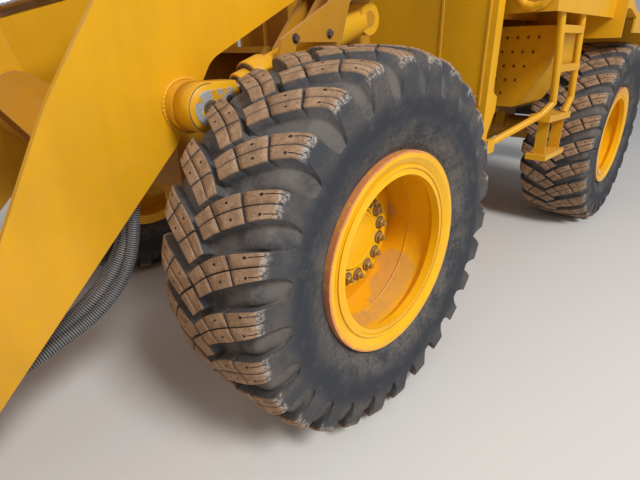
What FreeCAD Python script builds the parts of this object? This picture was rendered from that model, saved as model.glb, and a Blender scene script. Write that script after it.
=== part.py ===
import FreeCAD, Part
import math
import os
import Sketcher

# A wheel loader with articulated steering, in millimetres.
# X points forward, Y to the machine's left and Z up. The ground is Z = 0.
# Stations along the machine are taken from the front axle, the hitch or the rear axle.

Vector = FreeCAD.Vector
Rotation = FreeCAD.Rotation
Placement = FreeCAD.Placement

doc = FreeCAD.newDocument("WheelLoader")
sheet = doc.addObject("Spreadsheet::Sheet", "sizes")

# Driving sizes: alias, value in millimetres or degrees or a count, meaning.
SIZES = (
    ("wheelbase", 2875, "front axle to rear axle"),
    ("nose_x", 1110, "front axle ahead of the origin"),
    ("track", 1850, "between the wheels' middle planes"),
    ("tyre_radius", 665, "axle height and radius at the lugs' tips"),
    ("tyre_half", 236, "half of a tyre's width at its widest"),
    ("tread_half", 222, "half of a tyre's tread"),
    ("lug_depth", 34, "depth of the grooves between the lugs"),
    ("lug_count", 24, "lugs round one half of a tread"),
    ("lug_length", 108, "a lug along the tread's run"),
    ("lug_slant", 66, "how far a lug's shoulder end trails its middle end"),
    ("lug_turn", -1.4, "turn of the left row's first lug past the wheel's top"),
    ("flange_radius", 355.5, "outer radius of a rim's flange"),
    ("rim_half", 213, "rim's middle plane to its flange's outer face"),
    ("seat_radius", 317, "radius under a tyre's bead"),
    ("disc_radius", 302, "where the disc meets the rim's barrel"),
    ("bolt_face", 13, "bolt face outboard of the rim's middle plane"),
    ("bolt_flange", 190, "outer radius of the flat bolt face"),
    ("cap_radius", 120, "radius of the flat hub cap"),
    ("spindle_radius", 60, "axle's spindle in the hub"),
    ("pin_gap", 0.5, "radial clearance round a pin or a shaft"),
    ("side_gap", 6, "clearance beside an eye or a lug"),
    ("arm_face", 520, "outer face of a lift arm from the middle plane"),
    ("arm_thick", 28, "thickness of a lift arm's plate"),
    ("arm_back", 405, "arm's rear pin behind the front axle"),
    ("arm_height", 1800, "height of the arm's rear pin"),
    ("bucket_out", 1385, "bucket's pin ahead of the front axle"),
    ("bucket_height", 250, "height of the bucket's pin"),
    ("arm_pin", 45, "radius of the pins at both ends of the arms"),
    ("arm_eye", 104, "radius of the arm's round tip"),
    ("lift_out", 377, "lift rod's eye ahead of the front axle"),
    ("lift_height", 1151, "height of the lift rod's eye"),
    ("lift_back", 420, "lift cylinder's rear pin behind the front axle"),
    ("lift_low", 1425, "height of the lift cylinder's rear pin"),
    ("lift_middle", 612, "middle plane of a lift cylinder"),
    ("lift_radius", 54, "radius of a lift cylinder's barrel"),
    ("lift_barrel", 638, "lift barrel from its pin to its gland's end"),
    ("lift_rod", 30, "radius of a lift cylinder's rod"),
    ("lift_eye", 76, "radius of the lift rod's eye"),
    ("tilt_radius", 74, "radius of the tilt cylinder's barrel"),
    ("tilt_barrel", 800, "tilt barrel from its pin to its gland's end"),
    ("tilt_rod", 36, "radius of the tilt cylinder's rod"),
    ("cross_out", 620, "cross tube of the arms ahead of the front axle"),
    ("cross_height", 1060, "height of the cross tube"),
    ("lever_out", 760, "lever's pivot ahead of the front axle"),
    ("lever_height", 1190, "height of the lever's pivot"),
    ("lever_length", 250, "lever's pivot to its top pin, as on the bucket"),
    ("lever_angle", 76, "lever's lean above the horizontal at rest"),
    ("link_pin", 32, "radius of the lever's and the link's pins"),
    ("bucket_half", 1200, "half of the bucket's width"),
    ("bucket_plate", 20, "thickness of the bucket's plates"),
    ("bucket_reach", 940, "cutting edge ahead of the bucket's pin"),
    ("bucket_rise", 950, "bucket's top edge above its pin"),
    ("bucket_floor", 232, "bucket's floor below its pin"),
    ("steer_height", 760, "height of the steering cylinders"),
    ("steer_radius", 42, "radius of a steering barrel"),
    ("steer_rod", 22, "radius of a steering rod"),
    ("steer_pin", 20, "radius of the steering cylinders' rear pins"),
    ("lug_thick", 18, "thickness of the lugs that hold the steering cylinders"),
    ("steer_front_x", 360, "steering rod's eye ahead of the hitch"),
    ("steer_front_y", 200, "steering rod's eye from the middle plane"),
    ("steer_rear_x", 480, "steering barrel's pin behind the hitch"),
    ("steer_rear_y", 430, "steering barrel's pin from the middle plane"),
    ("steer_barrel", 500, "steering barrel from its pin to its gland's end"),
    ("hitch_pin", 45, "radius of the hitch's pins"),
    ("hitch_low", 575, "underside of the front frame's lower ear"),
    ("hitch_high", 985, "underside of the front frame's upper ear"),
    ("ear_thick", 40, "thickness of the front frame's ears"),
    ("yoke_thick", 35, "thickness of the rear frame's yoke plates"),
    ("rail_half", 330, "outer face of a rear frame's rail"),
    ("rail_thick", 30, "thickness of a rail"),
    ("rail_low", 800, "underside of the rails"),
    ("rail_high", 1040, "top of the rails"),
    ("front_half", 325, "outer face of the front frame's side plates"),
    ("plate_thick", 25, "thickness of the frames' plates"),
    ("tower_inner", 430, "inner face of a tower's inner plate"),
    ("tower_outer", 530, "inner face of a tower's outer plate"),
    ("tower_thick", 20, "thickness of a tower's outer plate"),
    ("guard_inner", 684, "inner face of the guard plate outside a lift cylinder"),
    ("guard_thick", 15, "thickness of a guard plate"),
    ("bulkhead_x", 397, "bulkhead's face ahead of the hitch"),
    ("bulkhead_half", 900, "half of the bulkhead's width"),
    ("bulkhead_low", 820, "underside of the bulkhead"),
    ("deck_low", 1460, "underside of the platforms' skirts"),
    ("deck_front", 237, "platforms' front ahead of the hitch"),
    ("deck_plate", 12, "thickness of the platforms' plates"),
    ("stand_front", 130, "front cab stand behind the hitch"),
    ("stand_rear", 640, "rear cab stand behind the hitch"),
    ("deck_high", 1560, "top of the platforms and the cab's floor"),
    ("fender_high", 1500, "top of the rear fenders"),
    ("deck_half", 1120, "outer edge of the platforms"),
    ("cab_half", 700, "half of the cab's width"),
    ("cab_front", 330, "cab's front ahead of the hitch"),
    ("cab_back", 850, "cab's rear wall behind the hitch"),
    ("cab_top", 2920, "top of the cab's posts"),
    ("cab_wall", 60, "thickness of the cab's walls and doors"),
    ("roof_thick", 120, "thickness of the roof"),
    ("glass_thick", 8, "thickness of the panes"),
    ("fit_gap", 0.3, "clearance round a pane, a door's seat or a block"),
    ("door_gap", 10, "gap round a door in its opening"),
    ("door_low", 60, "door openings' sill above the platforms"),
    ("door_high", 90, "door openings' top edge below the top of the cab's posts"),
    ("seat_room", 320, "seat's top below the top of the cab's posts"),
    ("door_front", 60, "door opening's front edge behind the hitch"),
    ("door_back", 770, "door opening's rear edge behind the hitch"),
    ("window_rim", 90, "width of a door's frame round its window"),
    ("hood_half", 520, "half of the hood's width"),
    ("hood_high", 1900, "top of the hood at the cab"),
    ("hood_tail", 1720, "top of the hood at its rear"),
    ("hood_wall", 30, "thickness of the hood's walls"),
    ("tail_x", 1250, "hood's rear behind the rear axle"),
    ("weight_depth", 310, "counterweight from front to back"),
    ("weight_half", 1020, "half of the counterweight's width"),
    ("weight_low", 600, "underside of the counterweight"),
    ("weight_high", 1180, "top of the counterweight"),
    ("tow_low", 690, "underside of the tow hitch's lower ear"),
    ("tow_high", 810, "top of the tow hitch's upper ear"),
    ("tow_reach", 70, "tow pin's axis behind the counterweight"),
    ("tow_bore", 21, "radius of the tow pin's bore"),
    ("engine_high", 1600, "top of the engine"),
    ("pipe_radius", 56, "radius of the exhaust pipe and the intake's stem"),
    ("tube_radius", 19, "radius of the ladders' and handrails' tubes"),
    ("hose_radius", 20, "radius of the work hoses"),
    ("coupling_radius", 24, "radius of the hoses' couplings"),
    ("hose_start", 930, "underside of the hoses' manifold"),
    ("hose_end", 1180, "hoses' bracket ahead of the front axle"),
)

for row, (alias, amount, meaning) in enumerate(SIZES, start=1):
    sheet.set(f"A{row}", alias)
    sheet.set(f"B{row}", str(amount))
    sheet.setAlias(f"B{row}", alias)
    sheet.set(f"C{row}", meaning)
doc.recompute()


class Size:
    """A number that remembers the sheet's cells that it is worked out from."""

    def __init__(self, value, text):
        self.value = value
        self.text = text

    def __add__(self, other):
        return Size(self.value + number(other), f"({self.text} + {wording(other)})")

    def __radd__(self, other):
        return Size(number(other) + self.value, f"({wording(other)} + {self.text})")

    def __sub__(self, other):
        return Size(self.value - number(other), f"({self.text} - {wording(other)})")

    def __rsub__(self, other):
        return Size(number(other) - self.value, f"({wording(other)} - {self.text})")

    def __mul__(self, other):
        return Size(self.value * number(other), f"({self.text} * {wording(other)})")

    def __rmul__(self, other):
        return Size(number(other) * self.value, f"({wording(other)} * {self.text})")

    def __truediv__(self, other):
        return Size(self.value / number(other), f"({self.text} / {wording(other)})")

    def __neg__(self):
        return Size(-self.value, f"(0 - {self.text})")


def number(size):
    """The plain value of a size or a number."""
    return size.value if isinstance(size, Size) else float(size)


def wording(size):
    """The expression of a size or a number."""
    return size.text if isinstance(size, Size) else repr(float(size))


def size_of(alias):
    """The cell with this alias, as a size."""
    return Size(float(sheet.get(alias)), f"sizes.{alias}")


class Sizes:
    """Every cell of the sheet by its alias."""

    def __init__(self):
        for entry in SIZES:
            setattr(self, entry[0], size_of(entry[0]))


s = Sizes()
front = s.nose_x
hitch = s.nose_x - s.wheelbase / 2
rear = s.nose_x - s.wheelbase
sill = s.deck_high + s.door_low
lintel = s.cab_top - s.door_high
LEFT_RIGHT = (("left", 1), ("right", -1))
HOSE_ROUTES = (
    # each point: ahead of the front axle, from the middle plane, height
    ((565, 404, 905), (565, 404, 850), (574, 402, 775), (588, 400, 705), (610, 400, 638),
     (645, 400, 573), (698, 400, 516), (775, 400, 463), (860, 402, 431), (960, 412, 404),
     (1080, 428, 380), (1150, 428, 380)),
    ((565, 352, 905), (565, 352, 850), (572, 354, 785), (584, 356, 728), (606, 358, 674),
     (643, 360, 615), (690, 360, 558), (738, 360, 514), (790, 360, 480), (860, 360, 442),
     (960, 366, 406), (1080, 372, 380), (1150, 372, 380)),
    ((565, 300, 905), (565, 300, 850), (569, 300, 780), (581, 300, 712), (606, 300, 645),
     (648, 300, 585), (704, 302, 526), (775, 304, 474), (850, 306, 434), (945, 310, 402),
     (1080, 316, 380), (1150, 316, 380)),
)
nodes = []


def bind(item, name, size):
    """Tie one property of a document object to the sheet."""
    item.setExpression(name, wording(size))


def keep(item, label):
    """Name a finished sub-part after its file."""
    item.Label = label
    nodes.append(item)
    return item


def point(x, y, z):
    return Vector(number(x), number(y), number(z))


# Sketches: a closed outline whose corners may be rounded, each corner tied to the sheet

def corner_cuts(corners):
    """Where each rounded corner starts and ends, with its arc's centre and turning sense."""
    cuts = []
    for index, (across, up, radius) in enumerate(corners):
        tip = point(across, up, 0)
        if number(radius) == 0:
            cuts.append((tip, tip, None, 0))
            continue
        before = corners[index - 1]
        after = corners[(index + 1) % len(corners)]
        back = (point(before[0], before[1], 0) - tip).normalize()
        ahead = (point(after[0], after[1], 0) - tip).normalize()
        half = back.getAngle(ahead) / 2
        reach = number(radius) / math.tan(half)
        centre = tip + (back + ahead).normalize() * (number(radius) / math.sin(half))
        cuts.append((tip + back * reach, tip + ahead * reach, centre, back.cross(ahead).z))
    return cuts


def pin_point(sketch, index, place, across, up):
    """Hold one point of the sketch at its two coordinates."""
    for kind, size in (("DistanceX", across), ("DistanceY", up)):
        held = sketch.addConstraint(Sketcher.Constraint(kind, -1, 1, index, place, number(size)))
        sketch.setExpression(f"Constraints[{held}]", wording(size))


def draw_arc(sketch, cut, radius):
    """Add a corner's arc and say which of its ends comes first."""
    start, end, centre, sense = cut
    turning_left = sense < 0
    low = math.atan2(start.y - centre.y, start.x - centre.x)
    high = math.atan2(end.y - centre.y, end.x - centre.x)
    if not turning_left:
        low, high = high, low
    circle = Part.Circle(centre, Vector(0, 0, 1), number(radius))
    arc = sketch.addGeometry(Part.ArcOfCircle(circle, low, high), False)
    held = sketch.addConstraint(Sketcher.Constraint("Radius", arc, number(radius)))
    sketch.setExpression(f"Constraints[{held}]", wording(radius))
    return (arc, 1, 2) if turning_left else (arc, 2, 1)


def draw_outline(sketch, corners):
    """Draw lines between the corners (across, up, radius) and round those with a radius."""
    corners = [tuple(corner) + (0,) * (3 - len(corner)) for corner in corners]
    cuts = corner_cuts(corners)
    lines = []
    for index in range(len(corners)):
        following = cuts[(index + 1) % len(corners)]
        line = Part.LineSegment(cuts[index][1], following[0])
        lines.append(sketch.addGeometry(line, False))
    for index, (across, up, radius) in enumerate(corners):
        before = lines[index - 1]
        after = lines[index]
        if number(radius) == 0:
            sketch.addConstraint(Sketcher.Constraint("Coincident", before, 2, after, 1))
            pin_point(sketch, after, 1, across, up)
            continue
        arc, first, last = draw_arc(sketch, cuts[index], radius)
        sketch.addConstraint(Sketcher.Constraint("Tangent", before, 2, arc, first))
        sketch.addConstraint(Sketcher.Constraint("Tangent", arc, last, after, 1))
        tip = sketch.addGeometry(Part.Point(point(across, up, 0)), True)
        sketch.addConstraint(Sketcher.Constraint("PointOnObject", tip, 1, before))
        sketch.addConstraint(Sketcher.Constraint("PointOnObject", tip, 1, after))
        pin_point(sketch, tip, 1, across, up)


def draw_hole(sketch, across, up, radius):
    """Add a round hole."""
    circle = Part.Circle(point(across, up, 0), Vector(0, 0, 1), number(radius))
    hole = sketch.addGeometry(circle, False)
    held = sketch.addConstraint(Sketcher.Constraint("Radius", hole, number(radius)))
    sketch.setExpression(f"Constraints[{held}]", wording(radius))
    pin_point(sketch, hole, 3, across, up)


# A sketch across X shows Y and Z, one across Y shows X and Z, one across Z shows X and Y.
SKETCH_TURN = {
    "x": Rotation(Vector(0, 1, 0), Vector(0, 0, 1), Vector(1, 0, 0), "ZXY"),
    "y": Rotation(Vector(1, 0, 0), Vector(0, 0, 1), Vector(0, -1, 0), "ZXY"),
    "z": Rotation(),
}
SKETCH_WAY = {"x": Vector(1, 0, 0), "y": Vector(0, 1, 0), "z": Vector(0, 0, 1)}


def slab(name, axis, corners, start, thick, holes=(), windows=()):
    """A plate with this outline, from start onwards along the axis, by its thickness."""
    sketch = doc.addObject("Sketcher::SketchObject", name + "_outline")
    sketch.Placement = Placement(SKETCH_WAY[axis] * number(start), SKETCH_TURN[axis])
    bind(sketch, f"Placement.Base.{axis}", start)
    draw_outline(sketch, corners)
    for window in windows:
        draw_outline(sketch, window)
    for hole in holes:
        draw_hole(sketch, *hole)
    plate = doc.addObject("Part::Extrusion", name)
    plate.Base = sketch
    plate.DirMode = "Custom"
    plate.Dir = SKETCH_WAY[axis]
    plate.FaceMakerClass = "Part::FaceMakerBullseye"
    plate.Solid = True
    bind(plate, "LengthFwd", thick)
    return plate


def block(name, x_range, y_range, z_range):
    """A rectangular block between three pairs of limits."""
    box = doc.addObject("Part::Box", name)
    for side, axis, (low, high) in (("Length", "x", x_range), ("Width", "y", y_range),
                                    ("Height", "z", z_range)):
        bind(box, side, high - low)
        bind(box, f"Placement.Base.{axis}", low)
    return box


def bar(name, radius, start, end):
    """A round bar between two points."""
    cylinder = doc.addObject("Part::Cylinder", name)
    bind(cylinder, "Radius", radius)
    run = end - start
    cylinder.Height = run.Length
    cylinder.Placement = Placement(start, Rotation(Vector(0, 0, 1), run))
    return cylinder


def strap(name, radius, start, end, low, thick, bores):
    """A plate with round ends about two pins, in a plane across Y, with a bore at each pin."""
    run = end - start
    lean = math.degrees(math.atan2(run.z, run.x))
    sketch = doc.addObject("Sketcher::SketchObject", name + "_outline")
    level = Rotation(Vector(0, 1, 0), -lean) * SKETCH_TURN["y"]
    sketch.Placement = Placement(Vector(start.x, number(low), start.z), level)
    soft = radius * 0.96
    draw_outline(sketch, [(-radius, -radius, soft), (run.Length + radius, -radius, soft),
                          (run.Length + radius, radius, soft), (-radius, radius, soft)])
    for place, bore in zip((0, run.Length), bores):
        if bore is not None:
            draw_hole(sketch, place, 0, bore)
    plate = doc.addObject("Part::Extrusion", name)
    plate.Base = sketch
    plate.DirMode = "Custom"
    plate.Dir = Vector(0, 1, 0)
    plate.FaceMakerClass = "Part::FaceMakerBullseye"
    plate.Solid = True
    bind(plate, "LengthFwd", thick)
    return plate


def turned(name, profile, place, way=Vector(0, 1, 0)):
    """A body turned from a profile of (along, radius) points, its axis along the given way."""
    body = doc.addObject("PartDesign::Body", name)
    sketch = body.newObject("Sketcher::SketchObject", name + "_profile")
    plane = [item for item in body.Origin.OriginFeatures if item.Role == "XY_Plane"][0]
    sketch.AttachmentSupport = [(plane, "")]
    sketch.MapMode = "FlatFace"
    draw_outline(sketch, [(entry[1], entry[0]) + tuple(entry[2:]) for entry in profile])
    turn = body.newObject("PartDesign::Revolution", name + "_turn")
    turn.Profile = sketch
    turn.ReferenceAxis = (sketch, ["V_Axis"])
    turn.Angle = 360
    body.Placement = Placement(place, Rotation(Vector(0, 1, 0), way))
    return body


def joined(name, pieces):
    """Pieces welded into one."""
    weld = doc.addObject("Part::MultiFuse", name)
    weld.Shapes = pieces
    return weld


def less(name, base, tools):
    """A piece with others cut out of it."""
    if len(tools) > 1:
        tool = joined(name + "_tools", tools)
    else:
        tool = tools[0]
    cut = doc.addObject("Part::Cut", name)
    cut.Base = base
    cut.Tool = tool
    return cut


def mirrored(name, item):
    """The same piece on the other side of the middle plane."""
    mirror = doc.addObject("Part::Mirroring", name)
    mirror.Source = item
    mirror.Normal = Vector(0, 1, 0)
    return mirror


def both_sides(name, item):
    """A piece and its mirror image in one sub-part."""
    return joined(name, [item, mirrored(name + "_mirror", item)])


def slab_on(side, name, corners, inner, thick, holes=(), windows=()):
    """A plate across Y on one side of the machine, its inner face at the given distance."""
    start = inner if side > 0 else -inner - thick
    return slab(name, "y", corners, start, thick, holes, windows)


# Tyres: a ring of flat sectors with two staggered rows of slanted lugs

TYRE_SECTION = (
    # share of the half-width or the tread, radius as a share of the tyre's
    (0.79, 0.4820), (0.79, 0.5420), (0.90, 0.5620), (1.00, 0.7200),
    (0.97, 0.8600), (0.81, 0.9170), (0.42, 0.9460),
)


def tyre_ring():
    """The carcass as a closed shell of flat faces."""
    count = int(number(s.lug_count))
    radius = number(s.tyre_radius)
    half = number(s.tyre_half)
    side = [(share * half, height * radius) for share, height in TYRE_SECTION]
    section = side + [(-across, height) for across, height in reversed(side)]
    rings = []
    for sector in range(count):
        angle = 2 * math.pi * sector / count
        rings.append([Vector(height * math.sin(angle), across, height * math.cos(angle))
                      for across, height in section])
    faces = []
    for sector in range(count):
        here = rings[sector]
        there = rings[(sector + 1) % count]
        for index in range(len(section)):
            near = (index + 1) % len(section)
            loop = [here[index], here[near], there[near], there[index], here[index]]
            faces.append(Part.Face(Part.makePolygon(loop)))
    return Part.makeSolid(Part.makeShell(faces))


def tyre_lug(side):
    """One lug at the top of the tyre: a slanted footprint cut by the tread's crown."""
    radius = number(s.tyre_radius)
    length = number(s.lug_length)
    slant = number(s.lug_slant) / 2
    edge = number(s.tread_half) * side
    middle = -0.04 * edge
    depth = number(s.lug_depth)
    top = math.sqrt(radius ** 2 - (length / 2 + slant) ** 2)
    footprint = [Vector(slant - length / 2, middle, radius / 2),
                 Vector(slant + length / 2, middle, radius / 2),
                 Vector(-slant + length / 2, edge, radius / 2),
                 Vector(-slant - length / 2, edge, radius / 2)]
    prism = Part.Face(Part.makePolygon(footprint + footprint[:1])).extrude(Vector(0, 0, radius))
    low = top - depth * 2.6
    crown = [Vector(-radius, 2 * middle, low), Vector(-radius, 2 * middle, top),
             Vector(-radius, edge * 0.62, top), Vector(-radius, edge * 1.02, top - depth * 1.3),
             Vector(-radius, edge * 1.02, low)]
    bar_shape = Part.Face(Part.makePolygon(crown + crown[:1])).extrude(Vector(2 * radius, 0, 0))
    return prism.common(bar_shape)


def tyre_shape():
    """The carcass with its lugs."""
    count = int(number(s.lug_count))
    pitch = 360 / count
    lugs = []
    for side, stagger in ((1, 0), (-1, -0.5)):
        lug = tyre_lug(side)
        for place in range(count):
            copy = lug.copy()
            turn = number(s.lug_turn) + (place + stagger) * pitch
            copy.rotate(Vector(0, 0, 0), Vector(0, 1, 0), turn)
            lugs.append(copy)
    return tyre_ring().multiFuse(lugs)


def wheel_stations():
    """Each wheel's name, side and axle station."""
    for end, station in (("front", front), ("rear", rear)):
        for name, side in LEFT_RIGHT:
            yield f"{end}_{name}", side, station


def make_tyres():
    shape = tyre_shape()
    for name, side, station in wheel_stations():
        tyre = doc.addObject("Part::Feature", "tyre_" + name)
        tyre.Shape = shape
        tyre.Placement = Placement(point(station, s.track / 2 * side, s.tyre_radius), Rotation())
        keep(tyre, "tyre_" + name)


# Rims: flange, lip, deep barrel, dished disc and flat hub cap, one turned profile

def rim_profile(side):
    """Points (along the axle, radius), the outer side away from the machine."""
    lip = s.seat_radius - 41
    bead = s.rim_half - 24
    run = [
        (s.rim_half, s.flange_radius), (s.rim_half, s.flange_radius - 22),
        (s.rim_half - 12, s.seat_radius - 6), (s.rim_half - 7, lip), (s.rim_half - 38, lip),
        (s.rim_half - 66, s.disc_radius), (s.bolt_face - 60, s.disc_radius),
        (s.bolt_face, s.bolt_flange), (s.bolt_face, s.cap_radius),
        (s.bolt_face + 8, s.cap_radius - 6), (s.bolt_face + 8, 0), (s.bolt_face - 8, 0),
        (s.bolt_face - 8, s.spindle_radius + s.pin_gap),
        (s.bolt_face - 69, s.spindle_radius + s.pin_gap), (s.bolt_face - 69, s.bolt_flange - 20),
        (s.bolt_face - 24, s.bolt_flange), (s.bolt_face - 84, s.disc_radius - 1),
        (2 - s.rim_half, s.disc_radius - 1), (-s.rim_half, s.flange_radius),
        (-bead, s.flange_radius), (-bead, s.seat_radius), (bead, s.seat_radius),
        (bead, s.flange_radius),
    ]
    return [(along * side, radius) for along, radius in run]


def make_rims():
    for name, side, station in wheel_stations():
        place = point(station, s.track / 2 * side, s.tyre_radius)
        keep(turned("rim_" + name, rim_profile(side), place), "rim_" + name)


# Axles: round differential, tubes, final drives and spindles, one turned profile

def make_axles():
    spindle = s.track / 2 + s.bolt_face - 9
    drive = s.track / 2 + s.bolt_face - 72
    half_run = [(0, 212), (110, 196), (196, 120), (225, 98), (540, 92), (580, 135),
                (640, 165), (drive, 165), (drive, s.spindle_radius), (spindle, s.spindle_radius)]
    profile = [(-spindle, 0)] + [(-along, radius) for along, radius in reversed(half_run[1:])]
    profile += half_run + [(spindle, 0)]
    for end, station, way in (("front", front, -1), ("rear", rear, 1)):
        beam = turned(end + "_axle_beam", profile, point(station, 0, s.tyre_radius))
        nose = bar(end + "_axle_nose", 95, point(station, 0, s.tyre_radius),
                   point(station + 380 * way, 0, s.tyre_radius))
        seats = [block(end + "_axle_seat", (station - 110, station + 110), (250, 330),
                       (s.tyre_radius, s.rail_low))]
        seats.append(mirrored(end + "_axle_seat_right", seats[0]))
        keep(joined(end + "_axle", [beam, nose] + seats), end + "_axle")


# Front frame: box over the axle, towers for the arms, tapered plates to the hitch

def make_front_frame():
    back = front - 560
    inner = s.front_half - s.plate_thick
    side = slab("front_side", "y", [
        (front + 330, s.rail_low), (front + 330, 1010, 60), (front - 40, 1180, 120),
        (front - 150, 1330), (back, 1330), (back, s.hitch_low), (front - 330, s.hitch_low, 40),
        (front - 240, s.rail_low, 60)], inner, s.plate_thick)
    tower_foot = block("tower_foot", (back, front - 120),
                       (s.front_half, s.tower_outer + s.tower_thick), (1000, 1030))
    tower_outline = [
        (back, 1000), (back, 1330), (front - s.arm_back - 135, s.arm_height + 130, 130),
        (front - s.arm_back + 135, s.arm_height + 130, 130), (front - 240, 1500, 60),
        (front - 79, 1315, 40), (front - 79, 1000)]
    window = [(front - 415, 1110), (front - 415, 1343), (front - 161, 1343), (front - 161, 1110)]
    outer = slab("tower_outer_plate", "y", tower_outline, s.tower_outer, s.tower_thick,
                 windows=[window])
    inner_plate = slab("tower_inner_plate", "y", tower_outline, s.tower_inner, s.plate_thick)
    pin = bar("arm_rear_pin", s.arm_pin,
              point(front - s.arm_back, s.tower_inner, s.arm_height),
              point(front - s.arm_back, s.guard_inner + s.guard_thick + 6, s.arm_height))
    stub = bar("lift_rear_pin", 30,
               point(front - s.lift_back, s.tower_outer, s.lift_low),
               point(front - s.lift_back, s.lift_middle + 46, s.lift_low))
    tower_back = block("tower_back", (back, back + 30), (s.front_half, s.tower_outer),
                       (s.hitch_high, 1330))
    guard = slab("guard_plate", "y", [
        (front + 114, 1296), (front + 99, 1352, 15), (front - 143, 1474, 60),
        (front - s.arm_back + 125, s.arm_height - 90, 60),
        (front - s.arm_back + 125, s.arm_height + 125, 120),
        (back, s.arm_height + 125, 120), (back, 1540), (front - 245, 1482, 30),
        (front - 197, 1340), (front + 31, 1340), (front + 43, 1312)],
        s.guard_inner, s.guard_thick)
    tie = block("guard_tie", (back, back + 20), (s.tower_outer + s.tower_thick, s.guard_inner),
                (1560, s.arm_height))
    keep(both_sides("towers", joined("tower", [tower_foot, tower_back, outer, inner_plate, pin,
                                               stub, guard, tie])), "towers")
    bridge = block("front_bridge", (back, back + 30), (-inner, inner), (s.hitch_high, 1330))
    web = block("front_web", (front + 300, front + 325), (-inner, inner), (s.rail_low, 1000))
    deck = block("front_deck", (back, front - 150), (-inner, inner), (1305, 1330))
    taper = [(back + 60, inner), (back, inner), (hitch + 60, 150, 40), (hitch - 120, 120, 110),
             (hitch - 120, -120, 110), (hitch + 60, -150, 40), (back, -inner),
             (back + 60, -inner)]
    bore = [(hitch, 0, s.hitch_pin + s.pin_gap)]
    ears = [slab("front_ear_low", "z", taper, s.hitch_low, s.ear_thick, bore),
            slab("front_ear_high", "z", taper, s.hitch_high, s.ear_thick, bore)]
    spine = block("front_spine", (hitch + 170, back + 30), (-60, 60),
                  (s.hitch_low + s.ear_thick, s.hitch_high))
    cheek = block("tilt_cheek", (front - s.arm_back - 70, front - s.arm_back + 70), (86, 106),
                  (1320, s.arm_height + 60))
    tilt_pin = bar("tilt_rear_pin", s.arm_pin - 8,
                   point(front - s.arm_back, -106, s.arm_height),
                   point(front - s.arm_back, 106, s.arm_height))
    lug_plan = [(hitch + s.steer_front_x - 45, 40), (hitch + s.steer_front_x + 70, 40),
                (hitch + s.steer_front_x + 45, s.steer_front_y + 45, 44),
                (hitch + s.steer_front_x - 45, s.steer_front_y + 45, 44)]
    reach = s.steer_radius + s.side_gap
    lug = slab("steer_lug_low", "z", lug_plan, s.steer_height - reach - s.lug_thick, s.lug_thick)
    upper_lug = slab("steer_lug_high", "z", lug_plan, s.steer_height + reach, s.lug_thick)
    left = [side, cheek, lug, upper_lug]
    right = [mirrored(item.Name + "_right", item) for item in left]
    middle = [bridge, web, deck, spine, tilt_pin] + ears
    keep(joined("front_frame", left + right + middle), "front_frame")


def make_head_lamps():
    """A lamp on a bracket outboard of each tower's guard plate."""
    across = s.guard_inner + s.guard_thick
    stalk = block("lamp_stalk", (front - s.arm_back - 130, front - s.arm_back - 100),
                  (across, across + 120), (s.arm_height + 20, s.arm_height + 50))
    shell = turned("lamp_shell", [(-55, 40), (-20, 72), (55, 78), (55, 66), (46, 60), (46, 0),
                                  (-55, 0)],
                   point(front - s.arm_back - 100, across + 100, s.arm_height + 100),
                   Vector(1, 0, 0))
    riser = block("lamp_riser", (front - s.arm_back - 125, front - s.arm_back - 105),
                  (across + 80, across + 120), (s.arm_height + 50, s.arm_height + 70))
    keep(both_sides("head_lamps", joined("head_lamp", [stalk, riser, shell])), "head_lamps")


# Lift arms with their cross tube, and the lever, link and bucket that they carry

def make_arms():
    outline = [
        (front - s.arm_back - 125, s.arm_height + 125, 120),
        (front + s.lift_out + 48, s.arm_height - 82, 260),
        (front + s.cross_out + 180, s.cross_height + 130, 900),
        (front + (s.cross_out + s.bucket_out) / 2 + 58, (s.cross_height + s.bucket_height) / 2 + 67,
         400),
        (front + s.bucket_out + 160, s.bucket_height - 14, 104),
        (front + s.bucket_out, s.bucket_height - 165, 104),
        (front + s.lift_out + 53, s.lift_height - 121, 60),
        (front + s.lift_out - 112, s.lift_height + 139, 120),
        (front - s.arm_back - 125, s.arm_height - 117, 120)]
    holes = [(front - s.arm_back, s.arm_height, s.arm_pin + s.pin_gap),
             (front + s.bucket_out, s.bucket_height, s.arm_pin + s.pin_gap)]
    for name, side in LEFT_RIGHT:
        plate = slab_on(side, f"arm_plate_{name}", outline, s.arm_face - s.arm_thick,
                        s.arm_thick, holes)
        boss = bar(f"arm_boss_{name}", s.lift_eye + 6,
                   point(front + s.lift_out, (s.arm_face - s.arm_thick) * side, s.lift_height),
                   point(front + s.lift_out, (s.arm_face + 43) * side, s.lift_height))
        pieces = [plate, boss]
        if side > 0:
            pieces += hose_bracket()
        keep(joined(f"lift_arm_{name}", pieces), f"lift_arm_{name}")


def hose_bracket():
    """The plate inside the left arm's nose with the couplings of the three hoses."""
    plate = block("hose_plate", (front + s.hose_end, front + s.hose_end + 20),
                  (HOSE_ROUTES[-1][-1][1] - 30, s.arm_face - s.arm_thick),
                  (HOSE_ROUTES[0][-1][2] - 30, HOSE_ROUTES[0][-1][2] + 35))
    pieces = [plate]
    for index, route in enumerate(HOSE_ROUTES, start=1):
        x, y, z = route[-1]
        pieces.append(bar(f"lower_coupling_{index}", s.coupling_radius,
                          point(front + x, y, z), point(front + s.hose_end, y, z)))
    return pieces


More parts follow.
